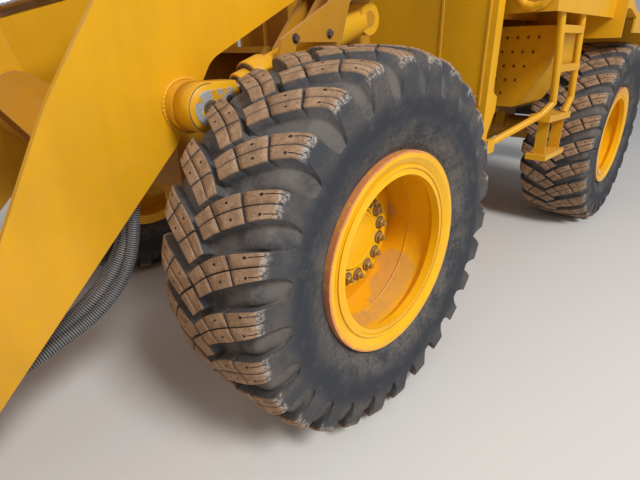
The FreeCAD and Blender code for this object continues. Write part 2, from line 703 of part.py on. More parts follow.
def make_cross_tube():
    """The tube between the arms, with the plates that hold the lever and the hoses' manifold."""
    reach = s.arm_face - s.arm_thick
    tube = bar("cross_pipe", 100, point(front + s.cross_out, -reach, s.cross_height),
               point(front + s.cross_out, reach, s.cross_height))
    across = front + s.lever_out
    cheek = slab("lever_cheek", "y", [
        (across + 90, s.lever_height + 10, 60), (across - 10, s.lever_height + 90, 60),
        (front + s.cross_out - 110, s.cross_height + 70, 60),
        (front + s.cross_out + 60, s.cross_height - 110, 60)],
        80, 25)
    pin = bar("lever_pin", s.link_pin, point(across, 44, s.lever_height),
              point(across, 105, s.lever_height))
    manifold = block("hose_manifold", (front + s.cross_out - 90, front + s.cross_out - 15),
                     (HOSE_ROUTES[-1][0][1] - 35, HOSE_ROUTES[0][0][1] + 35),
                     (s.hose_start, s.cross_height - 80))
    pieces = [tube, cheek, mirrored("lever_cheek_right", cheek), pin,
              mirrored("lever_pin_right", pin), manifold]
    for index, route in enumerate(HOSE_ROUTES, start=1):
        x, y, z = route[0]
        pieces.append(bar(f"upper_coupling_{index}", s.coupling_radius, point(front + x, y, z),
                          point(front + x, y, s.hose_start)))
    keep(joined("arm_cross_tube", pieces), "arm_cross_tube")


def lever_reach():
    """The lever's run from its pivot to its top pin, which the bucket repeats."""
    lean = math.radians(number(s.lever_angle))
    return Vector(math.cos(lean), 0, math.sin(lean)) * number(s.lever_length)


def make_lever():
    """Two plates on the cross tube's pins, tied ahead of them so that the tilt rod dips between."""
    pivot = point(front + s.lever_out, 0, s.lever_height)
    top = pivot + lever_reach()
    along = lever_reach().normalize()
    tie = pivot + along * 150 + Vector(along.z, 0, -along.x) * 125
    plate = strap("lever_plate", 62, pivot, top, 45, 27, (s.link_pin + s.pin_gap, None))
    brace = strap("lever_brace", 34, pivot + along * 130, tie, 45, 27, (None, None))
    stub = bar("lever_top_pin", s.link_pin, top + Vector(0, 45, 0), top + Vector(0, 146, 0))
    tie_bar = bar("lever_tie", 20, tie - Vector(0, 60, 0), tie + Vector(0, 60, 0))
    left = [plate, brace, stub]
    keep(joined("tilt_lever", left + [mirrored(item.Name + "_right", item) for item in left]
                + [tie_bar]), "tilt_lever")


def make_link():
    pivot = point(front + s.lever_out, 0, s.lever_height)
    bucket_pin = point(front + s.bucket_out, 0, s.bucket_height)
    bore = s.link_pin + s.pin_gap
    plate = strap("link_plate", 48, pivot + lever_reach(), bucket_pin + lever_reach(), 113, 25,
                  (bore, bore))
    keep(both_sides("tilt_link", plate), "tilt_link")


def make_bucket():
    pin_x = front + s.bucket_out
    pin_z = s.bucket_height
    low = pin_z - s.bucket_floor
    high = pin_z + s.bucket_rise
    tip = pin_x + s.bucket_reach
    lean = s.bucket_plate * 1.2
    outer = slab("bucket_outer", "y", [
        (tip, low), (pin_x + 60, low, 300), (pin_x + 300, high), (pin_x + 430, high),
        (tip - 40, low + 110)], -s.bucket_half, s.bucket_half * 2)
    ears = []
    for name, inner in (("inner", s.arm_face - s.arm_thick - s.side_gap - 36),
                        ("outer", s.arm_face + s.side_gap)):
        ears.append(slab(f"bucket_ear_{name}", "y", [
            (pin_x - 105, pin_z - 105, 100), (pin_x - 105, pin_z + 105, 100),
            (pin_x + 180, pin_z + 400), (pin_x + 420, pin_z + 400), (pin_x + 420, low + 5),
            (pin_x + 260, low + 30)], inner, 36))
    start = point(pin_x, s.arm_face - s.arm_thick - s.side_gap - 36, pin_z)
    end = point(pin_x, s.arm_face + s.side_gap + 36, pin_z)
    ears.append(bar("bucket_pin", s.arm_pin, start, end))
    link_pin = point(pin_x, 0, pin_z) + lever_reach()
    away = Vector(0, 80, 0)
    ears.append(slab("bucket_link_ear", "y", [
        (link_pin.x - 58, link_pin.z - 58, 55), (link_pin.x - 58, link_pin.z + 58, 55),
        (link_pin.x + 330, link_pin.z + 90), (link_pin.x + 330, link_pin.z - 230)], 80, 25))
    ears.append(bar("bucket_link_pin", s.link_pin, link_pin + away,
                    link_pin + away + Vector(0, 66, 0)))
    cavity = slab("bucket_cavity", "y", [
        (tip + 400, low + s.bucket_plate), (pin_x + 60 + lean, low + s.bucket_plate, 280),
        (pin_x + 300 + lean + 24, high + 120), (tip + 400, high + 120)],
        s.bucket_plate - s.bucket_half, (s.bucket_half - s.bucket_plate) * 2)
    whole = joined("bucket_body", [outer] + ears + [mirrored(item.Name + "_right", item)
                                                    for item in ears])
    shell = less("bucket_shell", whole, [cavity])
    edge = slab("bucket_lip", "y", [
        (tip, low), (tip - 250, low), (tip - 250, low + s.bucket_plate),
        (tip - 230, low + s.bucket_plate + 14), (tip - 60, low + s.bucket_plate + 14)],
        -s.bucket_half, s.bucket_half * 2)
    keep(joined("bucket", [shell, edge]), "bucket")


# Hydraulic cylinders: a barrel on its pin and a rod with its eye

def ram(name, start, end, middle_way, barrel_length, radius, rod_radius, eye_radius, pin_radius,
        eye_half, draw_in):
    """A barrel with a bored rear eye and a rod with its front eye, pins along middle_way."""
    way = (end - start).normalize()
    gland = start + way * number(barrel_length)
    bottom = number(radius) * 1.6
    tube = bar(name + "_tube", radius, start + way * (number(radius) * 0.4), gland)
    collar = bar(name + "_collar", radius + 9, gland - way * 70, gland - way * 14)
    half_pin = middle_way * number(eye_half)
    rear_eye = bar(name + "_rear_eye", radius + 6, start - half_pin, start + half_pin)
    bore = bar(name + "_bore", rod_radius + s.pin_gap, start + way * bottom, gland + way)
    pin_hole = bar(name + "_pin_hole", pin_radius + s.pin_gap, start - half_pin * 2,
                   start + half_pin * 2)
    keep(less(name + "_barrel", joined(name + "_shell", [tube, collar, rear_eye]),
              [bore, pin_hole]), name + "_barrel")
    shaft = bar(name + "_shaft", rod_radius, start + way * (bottom + draw_in + 8), end)
    eye = bar(name + "_front_eye", eye_radius, end - half_pin, end + half_pin)
    keep(joined(name + "_rod", [shaft, eye]), name + "_rod")


def make_rams():
    across = Vector(0, 1, 0)
    for name, side in LEFT_RIGHT:
        ram("lift_" + name,
            point(front - s.lift_back, s.lift_middle * side, s.lift_low),
            point(front + s.lift_out, s.lift_middle * side, s.lift_height), across,
            s.lift_barrel, s.lift_radius, s.lift_rod, s.lift_eye, 30, 46, 0)
    ram("tilt", point(front - s.arm_back, 0, s.arm_height),
        point(front + s.lever_out, 0, s.lever_height) + lever_reach(), across,
        s.tilt_barrel, s.tilt_radius, s.tilt_rod, 60, s.arm_pin - 8, 37, 130)
    for name, side in LEFT_RIGHT:
        ram("steer_" + name,
            point(hitch - s.steer_rear_x, s.steer_rear_y * side, s.steer_height),
            point(hitch + s.steer_front_x, s.steer_front_y * side, s.steer_height),
            Vector(0, 0, 1), s.steer_barrel, s.steer_radius, s.steer_rod, 38, s.steer_pin,
            s.steer_radius + 2, 175)


# Rear frame: rails, cross members and the yokes that hold the front frame's ears

def make_rear_frame():
    inner = s.rail_half - s.rail_thick
    tail = rear - s.tail_x
    yoke_low = s.hitch_low - s.yoke_thick - s.side_gap
    rail = slab("rail", "y", [
        (hitch - 420, yoke_low), (hitch - 420, s.hitch_high + s.ear_thick + 60, 20),
        (hitch - 480, s.rail_high), (tail, s.rail_high), (tail, s.rail_low),
        (hitch - 760, s.rail_low, 60), (hitch - 690, yoke_low, 40)], inner, s.rail_thick)
    yokes = []
    plan = [(hitch - 420, s.rail_half), (hitch - 390, s.rail_half), (hitch + 100, 125, 110),
            (hitch + 100, -125, 110), (hitch - 390, -s.rail_half), (hitch - 420, -s.rail_half)]
    for ear in (s.hitch_low, s.hitch_high):
        for name, low in (("under", ear - s.yoke_thick - s.side_gap),
                          ("over", ear + s.ear_thick + s.side_gap)):
            yokes.append(slab(f"yoke_{name}_{int(number(ear))}", "z", plan, low, s.yoke_thick))
        yokes.append(bar(f"hitch_pin_{int(number(ear))}", s.hitch_pin,
                         point(hitch, 0, ear - s.yoke_thick - s.side_gap),
                         point(hitch, 0, ear + s.ear_thick + s.side_gap + s.yoke_thick)))
    keep(joined("rear_yoke", yokes), "rear_yoke")
    wall = block("hitch_wall", (hitch - 450, hitch - 420), (-inner, inner),
                 (yoke_low, s.hitch_high + s.ear_thick + 60))
    mid = block("mid_member", (rear + 380, rear + 410), (-inner, inner),
                (s.rail_low, s.rail_high))
    last = block("tail_member", (tail, tail + 30), (-inner, inner), (s.rail_low, s.rail_high))
    lugs = []
    reach = s.steer_radius + s.side_gap
    for name, low in (("low", s.steer_height - reach - s.lug_thick),
                      ("high", s.steer_height + reach)):
        lug = slab(f"barrel_lug_{name}", "z", [
            (hitch - s.steer_rear_x - 60, inner), (hitch - s.steer_rear_x + 60, inner),
            (hitch - s.steer_rear_x + 44, s.steer_rear_y + 44, 43),
            (hitch - s.steer_rear_x - 44, s.steer_rear_y + 44, 43)], low, s.lug_thick)
        lugs += [lug, mirrored(lug.Name + "_right", lug)]
    pin = bar("barrel_pin", s.steer_pin,
              point(hitch - s.steer_rear_x, s.steer_rear_y, s.steer_height - reach),
              point(hitch - s.steer_rear_x, s.steer_rear_y, s.steer_height + reach))
    pieces = [rail, mirrored("rail_right", rail), wall, mid, last, pin,
              mirrored("barrel_pin_right", pin)] + lugs
    for name, station in (("front", rear - 770), ("rear", rear + 200)):
        pieces.append(block(f"hood_rest_{name}", (station - 30, station + 30),
                            (-s.hood_half, s.hood_half), (s.rail_high - 50, s.rail_high)))
    keep(joined("rear_frame", pieces), "rear_frame")


def make_cab_stands():
    """Posts on the upper yoke and on the rails, each pair with a beam under the cab."""
    stands = []
    for name, station, low, inner in (
            ("front", hitch - s.stand_front,
             s.hitch_high + s.ear_thick + s.side_gap + s.yoke_thick, 120),
            ("rear", hitch - s.stand_rear, s.rail_high, s.rail_half - s.rail_thick)):
        post = block(f"cab_post_{name}", (station - 40, station + 40), (inner, inner + 60),
                     (low, s.deck_high - 60))
        beam = block(f"cab_beam_{name}", (station - 40, station + 40),
                     (40 - s.cab_half, s.cab_half - 40), (s.deck_high - 60, s.deck_high))
        stands += [post, mirrored(post.Name + "_right", post), beam]
    keep(joined("cab_stands", stands), "cab_stands")


def make_cab_base():
    """The bulkhead ahead of the hitch, its bright edge posts and the perforated side panels."""
    face = hitch + s.bulkhead_x
    plate = slab("bulkhead", "x", [
        (s.bulkhead_half, s.bulkhead_low), (s.bulkhead_half, s.deck_high),
        (-s.bulkhead_half, s.deck_high), (-s.bulkhead_half, s.bulkhead_low),
        (280 - s.bulkhead_half, s.bulkhead_low), (280 - s.bulkhead_half, s.bulkhead_low + 290, 60),
        (s.bulkhead_half - 280, s.bulkhead_low + 290, 60),
        (s.bulkhead_half - 280, s.bulkhead_low)],
        face - 20, 20)
    post = slab("edge_post", "y", [
        (face, s.bulkhead_low + 80), (face, s.deck_high), (face - 70, s.deck_high),
        (face - 70, s.bulkhead_low + 280, 30), (face - 120, s.bulkhead_low + 260),
        (face - 120, s.bulkhead_low + 190), (face - 60, s.bulkhead_low + 80, 30),
        (face - 60, s.bulkhead_low - 60), (face - 20, s.bulkhead_low - 80)],
        s.bulkhead_half, 14)
    holes = []
    for line in range(int(number(s.deck_low - s.bulkhead_low - 160) / 80)):
        for column in range(10):
            if column < 2 * line + 3:
                holes.append((face - 97 - column * 55, s.bulkhead_low + 140 + line * 80, 9))
    inner = s.bulkhead_half - 260
    panel = slab("side_panel", "y", [
        (face - 20, s.bulkhead_low + 60), (face - 20, s.deck_low), (face - 637, s.deck_low),
        (face - 637, s.bulkhead_low + 360, 60), (face - 337, s.bulkhead_low + 60, 60)],
        inner, 8, holes)
    brace = block("panel_brace", (hitch - s.stand_front - 20, hitch - s.stand_front + 20),
                  (180, inner), (s.deck_low - 220, s.deck_low - 180))
    left = [post, panel, brace]
    keep(joined("cab_base", [plate] + left + [mirrored(item.Name + "_right", item)
                                              for item in left]), "cab_base")


def make_platforms():
    """Decks beside the cab with their skirts, and the boxed fenders over the rear wheels."""
    ahead = hitch + s.deck_front
    behind = hitch - 760
    inner = s.cab_half - 40
    edge = s.deck_half - s.deck_plate
    deck = block("deck_top", (behind, ahead), (inner, s.deck_half),
                 (s.deck_high - s.deck_plate, s.deck_high))
    skirt = block("deck_skirt", (behind, ahead), (edge, s.deck_half), (s.deck_low, s.deck_high))
    nose = block("deck_nose", (ahead - s.deck_plate, ahead), (inner, s.deck_half),
                 (s.deck_low, s.deck_high))
    step = block("deck_step", (ahead, hitch + s.bulkhead_x - 20), (inner, s.bulkhead_half),
                 (s.deck_high - s.deck_plate, s.deck_high))
    inner_skirt = block("deck_inner", (behind, ahead), (inner, inner + s.deck_plate),
                        (s.deck_low, s.deck_high))
    outer = s.track / 2 + s.tyre_half + 20
    fender = slab("rear_fender", "y", [
        (behind, s.deck_high - 210), (behind, s.deck_high), (rear + 560, s.deck_high, 40),
        (rear + 380, s.fender_high, 60), (rear - 420, s.fender_high, 60),
        (rear - 640, s.fender_high - 210, 60), (rear - 640, s.fender_high - 320),
        (rear - 625, s.fender_high - 320), (rear - 625, s.fender_high - 220, 60),
        (rear - 410, s.fender_high - 30, 50), (rear + 380, s.fender_high - 30, 50),
        (rear + 560, s.deck_high - 50, 40), (behind - 15, s.deck_high - 50),
        (behind - 15, s.deck_high - 210)],
        s.hood_half + 40, outer - s.hood_half - 40)
    lip = block("fender_lip", (rear - 420, rear + 380), (outer - s.deck_plate, outer),
                (s.fender_high - 120, s.fender_high))
    keep(both_sides("platforms", joined("platform", [deck, skirt, nose, step, inner_skirt,
                                                     fender, lip])), "platforms")


def tube_run(name, points):
    """A tube through the points, round at each knee."""
    pieces = []
    for index, (start, end) in enumerate(zip(points, points[1:])):
        pieces.append(bar(f"{name}_{index}", s.tube_radius, start, end))
    for index, knee in enumerate(points[1:-1]):
        ball = doc.addObject("Part::Sphere", f"{name}_knee_{index}")
        bind(ball, "Radius", s.tube_radius)
        ball.Placement = Placement(knee, Rotation())
        pieces.append(ball)
    return pieces


def make_ladders():
    """Two bent rails with rungs on each side, their brace, and the handrails above."""
    across = s.deck_half - s.deck_plate - s.tube_radius - s.fit_gap
    top = s.deck_high - s.deck_plate
    face = hitch + s.bulkhead_x
    pieces = tube_run("ladder_front", [
        point(hitch + 85, across, top), point(hitch + 85, across, top - 33),
        point(hitch + 5, across, top - 305), point(hitch - 42, across, top - 518),
        point(hitch + 20, across - 30, top - 576),
        point(face - 90, s.bulkhead_half + 14, s.bulkhead_low + 20)])
    pieces += tube_run("ladder_rear", [
        point(hitch - 251, across, top), point(hitch - 251, across, top - 33),
        point(hitch - 299, across, top - 305), point(hitch - 341, across, top - 513),
        point(hitch - 262, across, top - 593)])
    foot = block("brace_foot", (face - 110, face - 25),
                 (s.bulkhead_half + 14, s.bulkhead_half + 40),
                 (s.bulkhead_low - 20, s.bulkhead_low + 50))
    pieces.append(foot)
    for index, (ahead, height) in enumerate(((45, top - 158), (-3, top - 343))):
        pieces.append(block(f"rung_{index}", (hitch + ahead - 325, hitch + ahead + 5),
                            (across - 18, across + 18), (height - 18, height + 18)))
    pieces.append(slab("bottom_step", "y", [
        (hitch - 330, top - 623), (hitch + 20, top - 613), (hitch + 20, top - 578),
        (hitch - 330, top - 588)], across - 90, 110))
    pieces += tube_run("grab", [
        point(hitch + 60, across, s.deck_high), point(hitch + 60, across, s.deck_high + 790),
        point(hitch - 110, across, s.deck_high + 790), point(hitch - 110, across, s.deck_high)])
    ahead = hitch + s.deck_front + s.tube_radius + s.fit_gap
    loop = [point(ahead, across - 150, s.deck_high + 60)]
    for turn in range(7):
        angle = math.radians(180 + 30 * turn)
        loop.append(point(ahead, across - 70 + 80 * math.cos(angle),
                          s.deck_high + 80 * math.sin(angle)))
    loop.append(point(ahead, across + 10, s.deck_high + 60))
    pieces += tube_run("deck_loop", loop)
    for index, station in enumerate((-300, -60)):
        pieces.append(block(f"step_hanger_{index}", (hitch + station, hitch + station + 8),
                            (across - 60, across), (top - 800, top - 590)))
    pieces.append(block("lower_step", (hitch - 330, hitch - 20), (across - 90, across + 20),
                        (top - 830, top - 800)))
    keep(both_sides("ladders", joined("ladder", pieces)), "ladders")


# Cab: hollow shell with door openings and windows, roof, panes, doors, seat and console

def cab_outline(wall, low, high):
    """The cab's side outline, drawn in by the wall."""
    return [(hitch + s.cab_front + 40 - wall, low), (hitch + s.cab_front - wall, high),
            (hitch - s.cab_back + wall, high), (hitch - s.cab_back + wall, low)]


def make_cab():
    outer = slab("cab_outer", "y", cab_outline(0, s.deck_high, s.cab_top), -s.cab_half,
                 s.cab_half * 2)
    room = slab("cab_room", "y", cab_outline(s.cab_wall, s.deck_high + s.cab_wall,
                                             s.cab_top + 10),
                s.cab_wall - s.cab_half, (s.cab_half - s.cab_wall) * 2)
    door_hole = block("door_hole", (hitch - s.door_back, hitch - s.door_front),
                      (s.cab_half - s.cab_wall - 10, s.cab_half + 10), (sill, lintel))
    side_hole = block("side_hole", (hitch + 20, hitch + s.cab_front - 90),
                      (-s.cab_half - 10, s.cab_half + 10), (s.deck_high + 180, lintel - 30))
    front_hole = block("front_hole", (hitch + s.cab_front - 90, hitch + s.cab_front + 60),
                       (90 - s.cab_half, s.cab_half - 90),
                       (s.deck_high + 180, lintel - 30))
    rear_hole = block("rear_hole", (hitch - s.cab_back - 10, hitch - s.cab_back + 80),
                      (90 - s.cab_half, s.cab_half - 90), (s.hood_high + 100, lintel - 30))
    shell = less("cab_walls", outer, [room, door_hole, mirrored("door_hole_right", door_hole),
                                      side_hole, front_hole, rear_hole])
    knuckles = []
    for index, height in enumerate((sill + 160, lintel - 280)):
        for name, low in (("low", height), ("high", height + 112)):
            knuckles.append(block(f"hinge_lug_{name}_{index}",
                                  (hitch - s.door_back - 60, hitch - s.door_back + 14),
                                  (s.cab_half, s.cab_half + 32), (low, low + 12)))
        knuckles.append(bar(f"hinge_pin_{index}", 10,
                            point(hitch - s.door_back, s.cab_half + 18, height),
                            point(hitch - s.door_back, s.cab_half + 18, height + 124)))
    keep(joined("cab", [shell] + knuckles + [mirrored(item.Name + "_right", item)
                                             for item in knuckles]), "cab")
    roof = slab("cab_roof", "y", [
        (hitch - s.cab_back - 50, s.cab_top), (hitch - s.cab_back - 50, s.cab_top + 90, 60),
        (hitch - s.cab_back + 200, s.cab_top + s.roof_thick, 200),
        (hitch + s.cab_front - 100, s.cab_top + s.roof_thick, 200),
        (hitch + s.cab_front + 110, s.cab_top + 60, 40), (hitch + s.cab_front + 110, s.cab_top)],
        -s.cab_half - 30, s.cab_half * 2 + 60)
    keep(roof, "cab_roof")


def make_panes():
    gap = s.fit_gap
    low = s.deck_high + 180 + gap
    high = lintel - 30 - gap
    front_pane = slab("front_pane", "y", [
        (hitch + s.cab_front + 8, low), (hitch + s.cab_front - 19, high),
        (hitch + s.cab_front - 19 - s.glass_thick, high),
        (hitch + s.cab_front + 8 - s.glass_thick, low)],
        90 - s.cab_half + gap, (s.cab_half - 90 - gap) * 2)
    rear_pane = block("rear_pane", (hitch - s.cab_back + 26, hitch - s.cab_back + 26
                                    + s.glass_thick),
                      (90 - s.cab_half + gap, s.cab_half - 90 - gap),
                      (s.hood_high + 100 + gap, high))
    side_pane = block("side_pane", (hitch + 20 + gap, hitch + s.cab_front - 90 - gap),
                      (s.cab_half - 34, s.cab_half - 34 + s.glass_thick), (low, high))
    keep(joined("cab_glass", [front_pane, rear_pane, side_pane,
                              mirrored("side_pane_right", side_pane)]), "cab_glass")


def make_doors():
    back = hitch - s.door_back + s.door_gap
    ahead = hitch - s.door_front - s.door_gap
    low = sill + s.door_gap
    high = lintel - s.door_gap
    rim = s.window_rim
    window = [(back + rim, low + rim + 80, 40), (back + rim, high - rim, 40),
              (ahead - rim, high - rim, 40), (ahead - rim, low + rim + 80, 40)]
    for name, side in LEFT_RIGHT:
        frame = slab_on(side, f"door_frame_{name}", [(back, low), (back, high), (ahead, high),
                                                     (ahead, low)],
                        s.cab_half - s.cab_wall, s.cab_wall, windows=[window])
        pieces = [frame]
        for index, height in enumerate((sill + 160, lintel - 280)):
            axis_x = hitch - s.door_back
            sleeve = bar(f"sleeve_{name}_{index}", 15,
                         point(axis_x, (s.cab_half + 18) * side, height + 13),
                         point(axis_x, (s.cab_half + 18) * side, height + 111))
            tab_range = (s.cab_half, s.cab_half + 9)
            if side < 0:
                tab_range = (-s.cab_half - 9, -s.cab_half)
            tab = block(f"hinge_tab_{name}_{index}", (axis_x - 2, axis_x + 90), tab_range,
                        (height + 20, height + 104))
            hole = bar(f"sleeve_hole_{name}_{index}", 10 + s.pin_gap,
                       point(axis_x, (s.cab_half + 18) * side, height),
                       point(axis_x, (s.cab_half + 18) * side, height + 124))
            pieces.append(less(f"knuckle_{name}_{index}",
                               joined(f"knuckle_body_{name}_{index}", [sleeve, tab]), [hole]))
        keep(joined(f"door_{name}", pieces), f"door_{name}")
        inset = s.fit_gap
        pane = [(back + rim + inset, low + rim + 80 + inset, 40),
                (back + rim + inset, high - rim - inset, 40),
                (ahead - rim - inset, high - rim - inset, 40),
                (ahead - rim - inset, low + rim + 80 + inset, 40)]
        keep(slab_on(side, f"door_glass_{name}", pane, s.cab_half - s.cab_wall / 2 - 4,
                     s.glass_thick), f"door_glass_{name}")


def make_seat():
    base = s.deck_high + s.cab_wall
    seat_x = hitch - 410
    plinth = block("seat_plinth", (seat_x - 160, seat_x + 160), (-170, 170), (base, base + 260))
    cushion = slab("seat_cushion", "y", [
        (seat_x - 240, base + 260, 30), (seat_x + 250, base + 260, 30),
        (seat_x + 250, base + 380, 50), (seat_x - 120, base + 370),
        (seat_x - 220, s.cab_top - s.seat_room, 50),
        (seat_x - 340, s.cab_top - s.seat_room - 20, 50)], -240, 480)
    keep(joined("seat", [plinth, cushion]), "seat")
    centre = point(hitch - 24, 0, base + 656)
    column = bar("steering_column", 34, point(hitch + 106.5, 0, base + 100), centre)
    lean = Vector(-154, 0, 656).normalize()
    wheel = turned("steering_wheel_rim", [(-14, 186), (14, 186), (14, 212), (-14, 212)],
                   centre, lean)
    spoke = turned("steering_wheel_hub", [(-10, 0), (10, 0), (10, 200), (-10, 200)],
                   centre, lean)
    desk = slab("dash", "y", [(hitch + 60, base, 20), (hitch + 300, base), (hitch + 285, base + 380),
                              (hitch + 120, base + 420, 40)], -380, 760)
    keep(joined("console", [column, wheel, spoke, desk]), "console")


# Rear body: hood over the engine, counterweight, tanks, exhaust and lamps

def make_hood():
    ahead = hitch - s.cab_back - 30
    back = rear - s.tail_x
    outer = slab("hood_outer", "y", [
        (ahead, s.rail_high), (ahead, s.hood_high, 40), (back + 300, s.hood_tail + 60, 400),
        (back, s.hood_tail - 40, 120), (back, s.rail_high)], -s.hood_half, s.hood_half * 2)
    room = slab("hood_room", "y", [
        (ahead - s.hood_wall, s.rail_high - 10), (ahead - s.hood_wall, s.hood_high - s.hood_wall),
        (back + 300, s.hood_tail + 60 - s.hood_wall, 380),
        (back + s.hood_wall, s.hood_tail - 70, 100), (back + s.hood_wall, s.rail_high - 10)],
        s.hood_wall - s.hood_half, (s.hood_half - s.hood_wall) * 2)
    slots = []
    for line in range(7):
        height = s.rail_high + 170 + line * 62
        slots.append(block(f"side_slot_{line}", (back + 160, back + 620),
                           (-s.hood_half - 10, s.hood_half + 10), (height, height + 26)))
    grille = []
    for line in range(8):
        height = s.rail_high + 120 + line * 62
        grille.append(block(f"rear_slot_{line}", (back - 10, back + s.hood_wall + 10),
                            (110 - s.hood_half, s.hood_half - 110), (height, height + 34)))
    wells = [bar(f"{name}_well", s.pipe_radius + 2, place, place + Vector(0, 0, 700))
             for name, place in stack_places()]
    keep(less("hood", outer, [room] + slots + grille + wells), "hood")
    keep(block("engine", (rear - 820, rear + 260), (-300, 300),
               (s.rail_high + s.fit_gap, s.engine_high)), "engine")
    gearbox = block("gearbox_case", (hitch - 1000, hitch - 560), (-230, 230), (600, 1020))
    inner = s.rail_half - s.rail_thick
    mount = block("gearbox_mount", (hitch - 820, hitch - 740), (-inner, inner), (840, 910))
    shaft = bar("rear_shaft", 42, point(hitch - 1000, 0, s.tyre_radius),
                point(rear + 380, 0, s.tyre_radius))
    keep(joined("gearbox", [gearbox, mount, shaft]), "gearbox")


def stack_places():
    """Where the exhaust pipe and the intake's stem stand on the engine."""
    return (("exhaust", point(rear - 120, 200, s.engine_high)),
            ("intake", point(rear + 150, -200, s.engine_high)))


def make_rear_body():
    back = rear - s.tail_x
    weight = slab("counterweight_body", "z", [
        (back - s.fit_gap, -s.weight_half, 60), (back - s.fit_gap, s.weight_half, 60),
        (back - 150, s.weight_half, 120), (back - s.weight_depth, s.weight_half - 330, 200),
        (back - s.weight_depth, 330 - s.weight_half, 200), (back - 150, -s.weight_half, 120)],
        s.weight_low, s.weight_high - s.weight_low)
    keep(weight, "counterweight")
    face = back - s.weight_depth
    ears = [slab(f"tow_ear_{name}", "z", [
        (face, -75), (face, 75), (face - s.tow_reach - 42, 42, 41),
        (face - s.tow_reach - 42, -42, 41)], low, 30, [(face - s.tow_reach, 0, s.tow_bore)])
        for name, low in (("low", s.tow_low), ("high", s.tow_high - 30))]
    plate = block("tow_plate", (face - 22, face), (-110, 110),
                  (s.tow_low - 30, s.tow_high + 30))
    keep(joined("tow_hitch", ears + [plate]), "tow_hitch")
    tank_top = s.deck_high - 140
    tank_low = tank_top - 460
    section = [
        (s.rail_half + 30, tank_low, 30), (s.rail_half + 30, tank_top, 30), (985, tank_top, 50),
        (945, tank_top - 200, 60), (790, tank_low, 60)]
    tank = slab("tank_body", "x", section, hitch - 740, 395)
    holes = []
    for line, (inner, count) in enumerate(((430, 8), (470, 7), (430, 7), (450, 6), (430, 5))):
        for column in range(count):
            holes.append((inner + column * 62, tank_top - 60 - line * 80, 9))
    screen = slab("tank_screen", "x", section, hitch - 328, 8, holes)
    spacer = block("screen_spacer", (hitch - 345, hitch - 328), (600, 700),
                   (tank_top - 110, tank_top - 90))
    hanger = block("tank_hanger", (hitch - s.stand_rear - 40, hitch - s.stand_rear + 40),
                   (460, 640), (tank_top - 20, s.deck_high - 60))
    keep(both_sides("tanks", joined("tank", [tank, hanger, screen, spacer])), "tanks")
    (_, exhaust), (_, intake) = stack_places()
    pipe = bar("exhaust_pipe", s.pipe_radius, exhaust, exhaust + Vector(0, 0, 900))
    cleaner = turned("intake_cap", [
        (0, 0), (0, s.pipe_radius), (370, s.pipe_radius), (380, 130), (500, 120),
        (530, 60), (530, 0)], intake, Vector(0, 0, 1))
    keep(joined("stacks", [pipe, cleaner]), "stacks")
    lamp_x = hitch + s.cab_front + 45
    lamp = turned("roof_lamp", [(0, 0), (0, 34), (18, 50), (52, 56), (52, 48), (44, 44), (44, 0)],
                  point(lamp_x, 480, s.cab_top - 76), Vector(1, 0, 0))
    foot = block("roof_lamp_foot", (lamp_x + 10, lamp_x + 30), (470, 490),
                 (s.cab_top - 50, s.cab_top))
    tail = block("tail_lamp", (back - 22, back), (320, 440), (1330, 1420))
    keep(both_sides("work_lamps", joined("lamp", [lamp, foot])), "work_lamps")
    keep(both_sides("tail_lamps", tail), "tail_lamps")


# Hoses: straight runs joined by tangent arcs, hanging inside the left arm

def route_wire(points):
    """Lines between the points with an arc at each, as large as its two runs allow, and the radii."""
    edges = []
    radii = []
    last = points[0]
    for before, here, after in zip(points, points[1:], points[2:]):
        back = before - here
        ahead = after - here
        turn = math.pi - back.getAngle(ahead)
        reach = 0.45 * min(back.Length, ahead.Length)
        start = here + back.normalize() * reach
        end = here + ahead.normalize() * reach
        bulge = (back + ahead).normalize()
        radius = reach / math.tan(turn / 2)
        radii.append(radius)
        middle = here + bulge * (radius / math.cos(turn / 2) - radius)
        edges.append(Part.LineSegment(last, start).toShape())
        edges.append(Part.Arc(start, middle, end).toShape())
        last = end
    edges.append(Part.LineSegment(last, points[-1]).toShape())
    return Part.Wire(edges), radii


def make_hoses():
    radius = number(s.hose_radius)
    for index, route in enumerate(HOSE_ROUTES, start=1):
        points = [point(front + x, y, z) for x, y, z in route]
        wire, radii = route_wire(points)
        way = points[1] - points[0]
        ring = Part.Wire(Part.Circle(points[0], way, radius).toShape())
        hose = doc.addObject("Part::Feature", f"hose_{index}")
        hose.Shape = wire.makePipeShell([ring], True, True)
        keep(hose, f"hose_{index}")
        expected = math.pi * radius ** 2 * wire.Length
        print(f"hose {index}: length {wire.Length:.0f}, volume {hose.Shape.Volume / expected:.4f}")
        print("  radii " + ", ".join(f"{bend:.0f}" for bend in radii))


make_tyres()
make_rims()
make_axles()
make_front_frame()
make_head_lamps()
make_arms()
make_cross_tube()
make_lever()
make_link()
make_bucket()
make_rams()
make_rear_frame()
make_cab_stands()
make_cab_base()
make_platforms()
make_ladders()
make_cab()
make_panes()
make_doors()
make_seat()
make_hood()
make_rear_body()
make_hoses()
doc.recompute()

for item in doc.Objects:
    if "Invalid" in item.State or "Error" in item.State:
        raise RuntimeError(f"{item.Name} did not compute: {item.State}")

os.makedirs("parts", exist_ok=True)
for item in nodes:
    if item.Shape.isNull() or not item.Shape.isValid():
        raise RuntimeError(f"{item.Label} has no valid shape")
    item.Shape.exportStep(f"parts/{item.Label}.step")
print(f"{len(nodes)} sub-parts written")
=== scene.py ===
import math

import bpy
import numpy as np
from mathutils import Matrix, Vector


